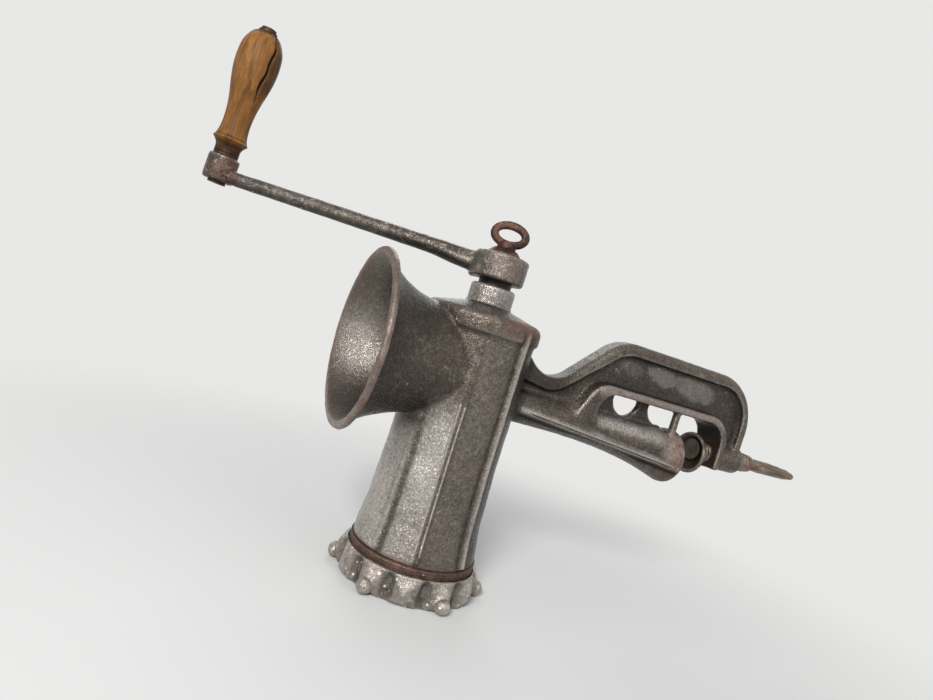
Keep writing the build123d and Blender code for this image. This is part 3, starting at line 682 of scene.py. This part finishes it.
def casting():
    """The casting's skin: fillets, beads and sand-cast unevenness over the solid's shape."""
    s = Shape(remeshed("body_casting", "casting_skin", VOXEL))
    s.fair(3)
    x, y, z = s.co.T
    radius, angle = polar(s.co)
    around = np.abs(angle)
    where = smooth_step(z, COLLAR_Z + 0.001, COLLAR_Z + 0.006)
    where[(radius < BORE_R) & (z < REAR_Z)] = 0
    window = (x > 0.1) & (np.abs(y) < 0.0149) & (x < WALL_X + 0.001) & (z < 0.1635)
    bead = (np.abs(around - BEAD_ANGLE) < 9) & (radius < 0.0465) & (z < 0.183)
    step = (np.abs(around - STEP_ANGLE) < 9) & (radius < 0.0465) & (z < 0.10)
    ridge = (x > 0.040) & (x < 0.190) & (np.abs(ridge_drop(x, z)) < 0.0065) & (np.abs(y) > 0.010)
    for part, share in ((window, 0.35), (bead | step, 0.12), (ridge, 0.1)):
        where[part] *= share
    s.fill_corners(80, 0.012, VOXEL, where)
    # the leg's web runs softly into the lower branch and the rim round the window
    for xs, half, zs, rounds, fillet in (
            ((0.040, 0.055, 0.108, 0.125), 0.0165, (0.128, 0.138, 0.166, 0.174), 140, 0.05),
            ((0.074, 0.080, 0.100, 0.108), 0.0158, (0.138, 0.144, 0.165, 0.171), 160, 0.06)):
        soft = band(x, *xs) * (np.abs(y) < half) * band(z, *zs)
        s.fill_corners(rounds, fillet, VOXEL, soft, 20)
    # the web ends at its second hole
    foot = 0.1465
    stub = (x > 0.1745) & (x < 0.1835) & (np.abs(y) < 0.0045) & (z > foot) & (z < 0.1600)
    s.co[stub, 2] = foot + (z[stub] - foot) * 0.08
    s.fair(4)
    # bead and soft rib along each side of the barrel
    low = COLLAR_Z - 0.0007
    for turn, wide, high, top in ((BEAD_ANGLE, 0.0031, 0.0032, 0.181), (STEP_ANGLE, 0.0036, 0.0013, 0.112)):
        radius, angle = polar(s.co)
        side = np.radians(np.abs(angle) - turn) * radius
        base = barrel_radius(z)
        rise = np.sqrt(np.clip(1 - (side / wide) ** 2, 0, None)) * high + base - 0.0002
        on = (np.abs(radius - base) < 0.0042) & (z > low) & (z < top) & (np.abs(side) < wide)
        ends = band(z, low, low + 0.004, top - 0.008, top)
        want = np.where(on, radius + (np.maximum(rise, radius) - radius) * ends, radius)
        s.co[:, :2] *= (want / radius.clip(1e-6))[:, None]
    # bores keep clear of what runs in them
    radius, _ = polar(s.co)
    s.co[:, :2] *= grown(radius, z > NECK_Z, SHANK_R + 0.0005)
    screw = np.array([0, SCREW_Z])
    off = s.co[:, 1:] - screw
    s.co[:, 1:] = screw + off * grown(np.hypot(*off.T), x > WALL_X - 0.006, SCREW_HOLE_R)
    radius, _ = polar(s.co)
    s.co[:, :2] *= grown(radius, z < MOUTH_Z, MOUTH_R)
    seat = (z > 0.0125) & (z < 0.0145) & (radius < 0.0413) & (radius > 0.033)
    s.co[seat, 2] = z[seat].clip(SEAT_Z, None)
    # sand-cast unevenness
    rough = value_noise(s.co, 0.010, 3) * 0.00022 + value_noise(s.co, 0.0035, 9, 2) * 0.00010
    radius, _ = polar(s.co)
    rough[(radius < 0.0445) & (z < 0.016)] = 0
    rough[(radius < 0.0150) & (z > NECK_Z)] = 0
    s.push(rough)
    masks(s)
    mat = iron("casting_iron", DARK, GREY, SILVER, 0.29, (130, 0.10, 0.11, 0.4))
    return dress(s.done(), "casting", mat, "body_iron", "body_casting")


def masks(s):
    """Where the casting is lighter with wear, rusty or darker, and where highlights and shade are painted on
    it, as point attributes.
    """
    bend = s.bend()
    n = s.normals()
    x, y, z = s.co.T
    radius, angle = polar(s.co)
    around = np.abs(angle)
    blot = value_noise(s.co, 0.018, 21)
    fine = value_noise(s.co, 0.006, 33)
    edge = smooth_step(bend, 0.00001, 0.00012)
    # painted shade in inside corners and creases
    painted_shade = s.blur(smooth_step(-bend, 0.000004, 0.00008), 4)
    # the barrel: its bead and rib, the strip beside the panel, the panel and the side left of it, with
    # painted highlights; painted shade at the bead's foot, beside the rib and beyond the bead
    skin = (1 - smooth_step(np.abs(radius - barrel_radius(z)), 0.0036, 0.0075)) * (z > COLLAR_Z - 0.001)
    skin = skin * (1 - smooth_step(z, 0.183, 0.188))
    side = np.radians(around - BEAD_ANGLE) * radius
    crown = bell(side, 0.0017) * skin
    foot = bell(np.abs(side) - 0.0040, 0.0012) * skin
    soft = np.radians(around - STEP_ANGLE) * radius
    gutter = bell(soft + 0.0042, 0.0013) * skin * (1 - smooth_step(z, 0.10, 0.115))
    strip = band(around, 69, 73, 103, 107) * skin
    beyond = (1 - smooth_step(around, 53, 60)) * skin
    panel = band(around, 109, 113, 138, 143) * smooth_step(-z, -0.140, -0.105) * skin
    panel = panel * (0.7 + 0.3 * smooth_step(z, 0.03, 0.065))
    left = smooth_step(around, 144, 148) * smooth_step(-z, -0.125, -0.095) * skin
    neck = (radius < 0.0175) & (z > 0.1965)
    # the hopper: outside and underside with painted shade, lining with a painted highlight in its middle, and
    # rim with its lip, which has wear and a painted highlight
    off = np.hypot(y, z - HOPPER_Z)
    horn = (off < 0.062) * smooth_step(-x, 0.026, 0.052) * smooth_step(radius, 0.040, 0.047)
    under = smooth_step(-n[:, 2], 0.15, 0.8) * smooth_step(-x, 0.028, 0.042) * (z > 0.07)
    facing = (n[:, 1] * y + n[:, 2] * (z - HOPPER_Z)) / off.clip(1e-6)
    lining = (off < 0.058) & (x < -0.03) & (facing < 0.1)
    lining_highlight = lining * bell(z - HOPPER_Z + 0.004, 0.024) * bell(x + 0.066, 0.020)
    to_rim = np.hypot(x - HOPPER_X, off - HOPPER_R)
    lip = bell(to_rim, 0.0028) * smooth_step(-z, -0.125, -0.105)
    # the leg: lower branch and its edge, window, jaw and web; painted highlights on the branch's top, the
    # edge's crest, the window's sill and the jaw pad's top, which also has wear, and painted shadow below the
    # edge
    branch = band(x, 0.085, 0.12, 0.165, 0.185) * (z < 0.149) * smooth_step(n[:, 2], 0.1, 0.6)
    drop = ridge_drop(x, z)
    along = (x > 0.041) * (x < 0.190) * (np.abs(y) > 0.0105) * (radius > 0.0405)
    line = bell(drop, 0.0022) * along
    below = bell(drop + 0.0042, 0.0022) * along
    sill = bell(z - 0.1648, 0.0042) * (x > 0.1) * (x < 0.232) * (np.abs(y) > 0.0125)
    jaw = smooth_step(x, 0.168, 0.182) * (x < 0.1945) * (z < 0.150) * smooth_step(n[:, 2], -0.5, 0.3)
    # wear at the neck; painted highlights on the panel, the side left of it, the bead's crest, the strip, the
    # branch's top, the edge's crest, the sill and the middle of the lining; wear and a painted highlight on
    # the lip and the jaw pad's top
    wear_and_highlight = np.maximum.reduce([panel * 0.92, branch * 0.95, neck * 0.7, left, crown, lining_highlight * 0.55, lip * 0.6,
                              strip * 0.12, line, jaw * 0.75, sill * 0.65])
    s.attribute("wear_and_highlight", wear_and_highlight * (0.84 + 0.45 * blot))
    s.attribute("edge", edge * (0.8 + 0.5 * fine))
    # painted shade inside the jaw's throat, added to that at the bead's foot, beside the rib, below the edge
    # and beyond the bead
    throat = (x > 0.205) & (x < WALL_X + 0.006) & (np.abs(y) < 0.0135)
    throat = throat * np.maximum(smooth_step(-n[:, 0], 0.2, 0.7), smooth_step(np.abs(n[:, 1]), 0.4, 0.8))
    throat = throat * (1 - smooth_step(z, 0.160, 0.166))
    s.attribute("painted_shade", np.maximum.reduce([painted_shade, foot * 0.8, gutter * 0.6, throat, below, beyond * 0.55]))
    # painted shade in the valley above the web, on the hopper's upper outside and where the surroundings hide
    # the sky
    valley = (x > 0.040) * (1 - smooth_step(x, 0.066, 0.098)) * (z > 0.150) * (np.abs(y) < 0.0115)
    upper = horn * smooth_step(n[:, 2], 0.2, 0.8) * 0.7
    hidden = occlusion(s, "body_casting")
    s.attribute("painted_soft_shade", np.maximum.reduce([smooth_step(hidden, 0.06, 0.42), valley, upper]))
    # rust on the hopper's rim, the rear shoulder, the window's rim, the jaw pad and the thread
    rim = bell(to_rim, 0.0035)
    shoulder = bell(radius - 0.038, 0.006) * bell(z - 0.188, 0.007) * smooth_step(x, -0.02, 0.02)
    window = bell(z - 0.166, 0.005) * (x > 0.1) * (x < 0.236) * (np.abs(y) > 0.0115)
    pad = smooth_step(x, 0.165, 0.190) * (x < 0.1945) * (z < 0.152)
    thread = (z < COLLAR_Z) * 0.8
    tea = left * 0.22 * smooth_step(blot, -0.4, 0.5)
    rust = np.maximum.reduce([rim * (1 - 0.3 * lip), shoulder * 1.2, window * 0.5, pad * 0.95, thread, tea])
    s.attribute("rust", rust * (0.7 + 0.8 * fine))
    s.attribute("lining", lining * 1.0)
    web = smooth_step(-np.abs(y), -0.0062, -0.0052) * (x > 0.06) * (z > 0.15)
    patch = np.zeros(s.count)
    for px, pz, a, b, much in ((0.160, 0.1875, 0.0155, 0.0078, 1), (0.1965, 0.184, 0.021, 0.0088, 1),
                               (0.131, 0.186, 0.012, 0.005, 0.35)):
        d = ((x - px) / a) ** 2 + ((z - pz + 0.1 * (x - px)) / b) ** 2
        patch = np.maximum(patch, much * (1 - smooth_step(d + 0.6 * fine, 0.6, 1.3)))
    s.attribute("patch", patch * web)
    # darker on the leg's web, and painted shade beyond the bead and on the hopper's outside and underside
    dim = np.maximum.reduce([web * (1 - patch), beyond * 0.9, horn * 0.6, under])
    s.attribute("web", dim * (1 - lining))


# The other pieces
def half_rounds(name, strips, shade=0.0, arc=8):
    """Raised half-round lines with a painted highlight, and painted shade below them by a given share; each
    strip is a row of foot, out and wide vectors in mm.
    """
    bm = bmesh.new()
    turns = [math.pi * k / arc for k in range(arc + 1)]
    for strip in strips:
        rows = [[bm.verts.new((foot + out * math.sin(b) + wide * math.cos(b)) * MM) for b in turns]
                for foot, out, wide in strip]
        join_rows(bm, rows)
        bm.faces.new(rows[0])
        bm.faces.new(rows[-1])
    s = Shape(mesh_object(name, bm))
    # painted highlight along the lines, and painted shade on their undersides by the given share
    s.attribute("wear_and_highlight", 0.75 + 0.4 * value_noise(s.co, 0.01, 61))
    s.attribute("edge", np.full(s.count, 0.6 + 0.4 * shade))
    s.attribute("painted_shade", shade * smooth_step(-s.normals()[:, 2], 0.1, 0.6))
    return dress(s.done(), "casting", bpy.data.materials["casting_iron"], "body_iron")


def barrel_lines():
    """Pairs of thin raised lines that frame the bare panel on each side of the barrel."""
    low, high, rows = 27.2, 133.0, 72
    strips = []
    for side in (-1, 1):
        for turn in (LINE_ANGLE - 2.3, LINE_ANGLE + 2.3):
            a = math.radians(side * turn)
            out = Vector((math.cos(a), math.sin(a), 0))
            wide = Vector((-math.sin(a), math.cos(a), 0))
            strip = []
            for j in range(rows + 1):
                z = low + (high - low) * j / rows
                base = float(barrel_radius(z * MM)) / MM - 0.15
                size = 0.95 + 0.12 * noise.noise(Vector((turn, side, z * 0.35)))
                size *= min(1, j / 3 + 0.05, (rows - j) / 3 + 0.05)
                strip.append((out * base + Vector((0, 0, z)), out * 1.15 * size, wide * size))
            strips.append(strip)
    return half_rounds("barrel_lines", strips)


def flange_edges():
    """Crisp edges of the flange along the leg's lower branch."""
    low, high, rows = 43.0, 190.0, 90
    strips = []
    for side in (-1, 1):
        strip = []
        for j in range(rows + 1):
            x = low + (high - low) * j / rows
            z = float(np.interp(x * MM, RIDGE_X, RIDGE_Z)) / MM
            y = float(np.interp(x, (43, 170, 185, 192), (14.7, 18.4, 20.3, 20.7))) - 0.9
            size = 1 + 0.15 * noise.noise(Vector((x * 0.12, side, 7)))
            size *= min(1, j / 6 + 0.05, (rows - j) / 8 + 0.05)
            out, wide = Vector((0, side * 1.9, 0.5)), Vector((0, 0, 1.35))
            strip.append((Vector((x, side * y, z)), out * size, wide * size))
        strips.append(strip)
    return half_rounds("flange_edges", strips, 1.0)


def barrel_thread():
    """Screw thread round the barrel's mouth, above the ring."""
    low, high, pitch, sides, per = 18.4, 24.8, 1.7, 180, 10
    root, depth, buried = 43.35, 0.85, 42.2
    bm = bmesh.new()
    count = int((high - low) / pitch * per)
    rows = []
    for j in range(count + 1):
        z = low + (high - low) * j / count
        row = []
        for k, (c, d) in enumerate(circle(sides)):
            r = root + depth * crest((z - low) / pitch - k / sides, 1.6, 4.4)
            r += 0.05 * noise.noise(Vector((c * 9, d * 9, z)))
            if j in (0, count):
                r = buried
            row.append(bm.verts.new(Vector((r * c, r * d, z)) * MM))
        rows.append(row)
    join_rows(bm, rows)
    obj = mesh_object("barrel_thread", bm, outward=False)
    s = Shape(obj)
    # painted shade in the thread's roots
    s.attribute("painted_shade", 1 - smooth_step(polar(s.co)[0], 0.0434, 0.0440))
    mat = plain_iron("thread_iron", srgb(42, 33, 27), srgb(84, 68, 58), 0.55, 0.40)
    return dress(obj, "casting", mat, "body_iron")


def ring():
    """The ring's skin, with round lobes between the finger hollows."""
    s = Shape(remeshed("screw_ring", "ring_skin", FINE_VOXEL))
    s.fair(4)
    radius, _ = polar(s.co)
    s.fill_corners(45, 0.006, FINE_VOXEL, smooth_step(radius, 0.0451, 0.0457))
    s.fill_corners(120, 0.02, FINE_VOXEL, smooth_step(radius, 0.0465, 0.0480), 20)
    s.fair(4)
    x, _, z = s.co.T
    radius, angle = polar(s.co)
    outside = smooth_step(radius, 0.0451, 0.0457) * smooth_step(z, 0.0004, 0.002)
    lobe = (0.5 + 0.5 * np.cos(np.radians(angle + 80) * RING_LOBES)) ** 0.8
    crown = band(z, 0.001, 0.006, 0.0125, 0.0185)
    grow = 1 + (lobe * 0.0038 - 0.0018) * crown * outside * (radius < 0.0499) / radius.clip(1e-6)
    s.co[:, :2] *= grow[:, None]
    rough = value_noise(s.co, 0.007, 5) * 0.00035 + value_noise(s.co, 0.0025, 8, 2) * 0.00014
    lug = 1 + 1.2 * smooth_step(radius, 0.0495, 0.0510)
    s.push(rough * outside * lug)
    s.co[:, 2] = z.clip(0, None)
    bend = s.bend()
    fine = value_noise(s.co, 0.005, 12)
    # painted shade in the creases and in the finger hollows
    painted_shade = s.blur(smooth_step(-bend, 0.000006, 0.00006), 3)
    s.attribute("edge", smooth_step(bend, 0.00001, 0.0001))
    s.attribute("painted_shade", np.maximum(painted_shade * 0.9, (1 - lobe) ** 3 * 0.85 * outside))
    s.attribute("wear_and_highlight", (0.55 + 0.65 * fine) * (0.35 + 0.65 * lobe) * outside)
    s.attribute("rust", smooth_step(fine, 0.1, 0.55) * 0.7 * smooth_step(-x, -0.01, 0.03))
    mat = iron("ring_iron", srgb(84, 77, 70), srgb(128, 121, 114), srgb(208, 199, 188), 0.27,
               (210, 0.22, 0.5, 1.0))
    return dress(s.done(), "ring", mat, "ring_iron", "screw_ring")


def toward(x, y, angle):
    """Share of flat vectors that points in the direction of an angle."""
    return x * math.cos(math.radians(angle)) + y * math.sin(math.radians(angle))


def crank():
    """The crank's skin, whose arm runs softly into the hub and grows deeper there."""
    s = Shape(remeshed("crank_arm", "crank_skin", FINE_VOXEL))
    s.fair(4)
    x, y, _ = s.co.T
    radius, _ = polar(s.co)
    bore = np.hypot(toward(x, y, CRANK_ANGLE) - CRANK_R, toward(x, y, CRANK_ANGLE + 90)) < BOSS_BORE_R
    open_side = smooth_step(radius, 0.0125, 0.0140) * (1 - bore)
    s.fill_corners(70, 0.010, FINE_VOXEL, open_side)
    root = band(toward(x, y, CRANK_ANGLE), 0.012, 0.017, 0.036, 0.050)
    s.fill_corners(160, 0.05, FINE_VOXEL, root * open_side, 20)
    s.fair(4)
    along = toward(x, y, CRANK_ANGLE)
    deep = band(along, 0.0145, 0.0205, 0.022, 0.056)
    s.push(deep * 0.0026 * smooth_step(-s.normals()[:, 2], -0.4, 0.6) * open_side)
    s.fair(4)
    rough = value_noise(s.co, 0.010, 15) * 0.00022 + value_noise(s.co, 0.003, 18, 2) * 0.00009
    s.push((rough - 0.0003) * open_side)
    bend = s.bend()
    fine = 0.6 * value_noise(s.co, 0.008, 41) + 0.55 * value_noise(s.co, 0.0022, 43)
    below = smooth_step(-s.normals()[:, 2], 0.0, 0.75)
    hub = 1 - smooth_step(radius, 0.022, 0.034)
    start = (1 - hub) * (1 - smooth_step(along, 0.05, 0.10))
    boss = along > BOSS_X
    s.attribute("edge", smooth_step(bend, 0.00001, 0.00009) * 0.9)
    # painted shade in the creases and on the arm's underside
    s.attribute("painted_shade", np.maximum(smooth_step(-bend, 0.000006, 0.00006), below * 0.7))
    s.attribute("wear_and_highlight", 0.20 + 0.24 * hub + 0.45 * fine - 0.2 * boss - 0.25 * start)
    s.attribute("rust", boss * 0.75 * smooth_step(fine, -0.4, 0.3) + hub * smooth_step(fine, -0.1, 0.5) * 0.5)
    mat = iron("crank_iron", srgb(46, 38, 31), srgb(70, 60, 51), srgb(158, 150, 141), 0.31,
               (150, 0.12, 0.2, 0.7), 0.38)
    return dress(s.done(), "rotor", mat, "crank_iron", "crank_arm")


def rusty_skin(node, name, body, mat, rounds, radius, swell=None):
    """A small piece's skin with rounded corners and a pitted surface."""
    s = Shape(remeshed(node, name, EYE_VOXEL))
    s.fair(4)
    s.fill_corners(rounds, radius, EYE_VOXEL, np.ones(s.count))
    s.fair(3)
    s.push(value_noise(s.co, 0.005, 15) * 0.00012 + value_noise(s.co, 0.002, 18, 2) * 0.00006)
    if swell:
        s.push(swell(s))
    return dress(s.done(), body, mat, "rusty_steel", node)


def eye_wire(s):
    """Extra thickness of the eye's wire, most of it towards the hole."""
    n = s.normals()
    u = toward(s.co[:, 0], s.co[:, 1], EYE_ANGLE)
    w = s.co[:, 2] - s.co[:, 2].max() + EYE_TOP
    facing = -(toward(n[:, 0], n[:, 1], EYE_ANGLE) * u + n[:, 2] * w) / np.hypot(u, w).clip(1e-6)
    return (0.0002 + 0.0009 * smooth_step(facing, 0.0, 0.9)) * smooth_step(w, -0.0085, -0.006)


# Frame of the boss at the crank's end, in millimetres, leaning a little
BOSS = (Matrix.Rotation(math.radians(CRANK_ANGLE), 4, "Z") @ Matrix.Translation((CRANK_R * 1000, 0, BOSS_MM))
        @ Matrix.Rotation(math.radians(BOSS_LEAN), 4, "Y"))


def grip():
    """Turned handle with a sharp collar and one long drying crack."""
    base, rim = 21.05, 6.8
    foot = [(4.8, 0.0), (8.4, 0.0)]
    side = [(9.1, 0.5), (9.0, 3.0), (9.4, 6.0), (10.9, 8.4), (12.3, 9.8), (12.6, 10.5), (12.1, 11.3),
            (11.1, 13.5), (10.2, 18.0), (9.8, 25.0), (10.3, 34.0), (11.6, 42.5), (13.5, 51.5), (15.1, 60.5),
            (15.75, 68.0), (15.7, 74.5), (14.9, 81.5), (12.9, 87.0), (10.3, 91.0), (7.7, 93.2)]
    end = [(6.6, 93.4), (4.8, 93.2)]
    profile = foot + smooth_profile(side) + end
    place = BOSS @ Matrix.Translation((0, 0, base))
    obj = lathe("grip_turned", profile, 150, place)
    s = Shape(obj)
    inverse = np.array(place.inverted())
    local = (s.co * 1000) @ inverse[:3, :3].T + inverse[:3, 3]
    world_turn = math.degrees(math.atan2(place[1][0], place[0][0]))
    angle = np.degrees(np.arctan2(local[:, 1], local[:, 0])) + world_turn
    h = local[:, 2]
    r = np.hypot(local[:, 0], local[:, 1])
    line = -56 + 5 * np.sin(h * 0.085) + 2.0 * np.sin(h * 0.31 + 1)
    away = (angle - line + 180) % 360 - 180
    wide = 1.8 * smooth_step(h, 38, 58) * (1 - 0.4 * smooth_step(h, 84, 95))
    mm = np.abs(np.radians(away)) * r
    crack = (1 - smooth_step(mm, 0.25 * wide + 0.01, 0.9 * wide + 0.02)) * (r > rim) * (h > 37)
    s.push(-crack * 0.0016 * wide)
    # the wood stands a little higher on the crack's far side
    lift = band(away, 0.5, 3, 25, 60) * smooth_step(h, 48, 66) * (r > rim)
    s.push(lift * 0.00015)
    s.push(value_noise(s.co, 0.012, 51) * 0.00010 * (r > rim))
    s.attribute("crack", crack)
    low = (1 - smooth_step(h, 6.5, 9.8)) * (0.8 + 0.3 * value_noise(s.co, 0.004, 53))
    top = smooth_step(h, 89, 93)
    # painted shade on the wood beside the crack
    slab = band(away, 1, 6, 50, 70) * smooth_step(h, 44, 56) * 0.6
    ring_line = bell(h - 12.2, 0.8) * 0.6
    s.attribute("dirt_and_shade", np.maximum.reduce([low, top, ring_line, slab]))
    return dress(s.done(), "grip", wood("grip_wood"), "grip_wood", "wooden_grip")


def clamp_screw():
    """Threaded spindle with its wing, whose faces carry cast ridges."""
    start, stop, pitch, sides, per = 220.8, 276.0, 3.0, 56, 10
    root, depth = 7.25, 0.73
    nose = [(0.01, 215.2), (8.4, 215.2), (8.8, 215.6), (8.8, 216.8), (8.4, 217.2), (5.0, 217.2), (5.0, 220.6),
            (7.0, 220.7)]
    tail = [(7.4, 276.2), (7.4, 281.0), (6.6, 283.6), (0.01, 283.8)]
    count = int((stop - start) / pitch * per)
    grid = [(px, [r] * sides) for r, px in nose]
    for j in range(count + 1):
        px = start + (stop - start) * j / count
        turns = (px - start) / pitch
        grid.append((px, [root + depth * crest(turns - k / sides, 1.5, 4.0) for k in range(sides)]))
    grid += [(px, [r] * sides) for r, px in tail]
    turn = Matrix.Translation((0, 0, SCREW_MM)) @ Matrix.Rotation(math.radians(90), 4, "Y")
    bm = bmesh.new()
    spin = circle(sides)
    join_rows(bm, [[bm.verts.new(turn @ Vector((r * c, r * d, px)) * MM) for r, (c, d) in zip(radii, spin)]
                   for px, radii in grid])
    wing(bm)
    obj = mesh_object("clamp_screw_turned", bm)
    s = Shape(obj)
    # painted shade in the creases and on the screw's nose
    painted_shade = smooth_step(-s.bend(), 0.00002, 0.00012) * 0.8
    s.attribute("painted_shade", np.maximum(painted_shade, (s.co[:, 0] < 0.2206) * 0.8))
    mat = plain_iron("clamp_iron", srgb(96, 82, 68), srgb(164, 148, 132), 0.3, 0.36, (0.25, 1, 1))
    return dress(obj, "clamp_screw", mat, "rusty_steel", "clamp_screw")


def wing(bm):
    """Flat thumb plate, wider at its tip, with ridges along both faces."""
    x0, x1, root, tip_half, thick_mid = 275.0, 325.8, 8.2, 17.2, 4.7
    along, across = 44, 40
    faces = []
    for side in (1, -1):
        sheet = []
        for j in range(along + 1):
            u = j / along
            px = x0 + (x1 - x0) * u
            half = root + (tip_half - root) * smooth_step(u, -0.1, 1.05)
            tip = max(0.0, (u - 0.86) / 0.14)
            half *= math.sqrt(max(0.0, 1 - 0.32 * tip ** 2.2))
            row = []
            for k in range(across + 1):
                v = 2 * k / across - 1
                thick = thick_mid * (1 - abs(v) ** 5) ** 0.5 * (1 - 0.22 * u)
                if u > 0.94:
                    thick *= math.sqrt(max(0.0, 1 - ((u - 0.94) / 0.06) ** 2))
                ridge = 0.75 * math.cos(v * math.pi * 4.0) * (1 - abs(v) ** 4)
                ridge *= min(1, max(0, (u - 0.12) * 5))
                if u > 0.9:
                    ridge *= max(0.0, 1 - (u - 0.9) / 0.08)
                row.append(Vector((px, v * half, SCREW_MM + side * max(0.02, thick + ridge))))
            sheet.append([bm.verts.new(p * MM) for p in row])
        faces.append(sheet)
    for sheet in faces:
        for low, high in zip(sheet, sheet[1:]):
            for k in range(across):
                bm.faces.new((low[k], low[k + 1], high[k + 1], high[k]))
    top, bottom = faces
    rims = [([row[end] for row in top], [row[end] for row in bottom]) for end in (0, -1)]
    for a, b in rims + [(top[0], bottom[0]), (top[-1], bottom[-1])]:
        for k in range(len(a) - 1):
            bm.faces.new((a[k], a[k + 1], b[k + 1], b[k]))


def cup():
    """Dished disc on the clamp screw's nose; its hole follows the screw, which it hangs below."""
    middle, hole, sides = 134.5, 5.6, 72
    rings = [(217.5, None), (217.5, 12.0), (216.4, 13.2), (214.0, 14.9), (213.6, 15.4), (213.5, 16.1),
             (213.8, 16.7), (214.5, 17.0), (215.6, 16.95), (216.8, 16.3), (219.8, 13.0), (220.4, 12.3),
             (220.5, 11.6), (220.5, None)]
    bm = bmesh.new()
    loops = []
    for x, r in rings:
        loop = []
        for c, d in circle(sides):
            if r is None:
                at = Vector((x, hole * c, SCREW_MM + hole * d))
            else:
                at = Vector((x, r * c, middle + r * d))
                at += Vector((0, c, d)) * 0.18 * noise.noise(at * 0.2)
            loop.append(bm.verts.new(at * MM))
        loops.append(loop)
    join_rows(bm, loops + loops[:1])
    obj = mesh_object("cup_dished", bm)
    s = Shape(obj)
    x, y, z = s.co.T / MM
    # painted shade inside the cup
    s.attribute("painted_shade", smooth_step(x, 213.5, 215.0) * (np.hypot(y, z - middle) < 15.2) * (x < 217.6))
    mat = plain_iron("cup_iron", srgb(62, 54, 47), srgb(146, 135, 124), 0.2, 0.40)
    return dress(obj, "cup", mat, "crank_iron", "pressure_cup")


casting()
barrel_lines()
flange_edges()
barrel_thread()
ring()
crank()
grip()
clamp_screw()
rust_mat = plain_iron("eye_iron", srgb(50, 31, 25), srgb(96, 66, 55), 0.5, 0.40, hollows=False)
rusty_skin("crank_eye_screw", "eye_skin", "eye_screw", rust_mat, 40, 0.005, eye_wire)
rusty_skin("crank_screw_washer", "collar_skin", "screw_washer", rust_mat, 6, 0.003)
cup()

bright = steel("ground_steel", srgb(176, 172, 166), 0.32)
# painted shade on the auger above 0.203 m, where its shank shows by the hub
tinned = plain_iron("auger_iron", srgb(96, 90, 84), srgb(150, 144, 138), 0.15, 0.40, shade_above=0.203,
                    hollows=False)
dark = steel("dark_steel", srgb(78, 62, 50), 0.5)
for name, mat in (("plate_key_pin", bright), ("perforated_plate", bright), ("auger", tinned),
                  ("auger_thrust_washer", bright), ("knife_stud", bright), ("knife", bright),
                  ("grip_spindle", dark), ("grip_base_washer", dark), ("grip_end_washer", dark)):
    NODES[name].data.materials.clear()
    NODES[name].data.materials.append(mat)

scene.view_settings.view_transform = "Standard"
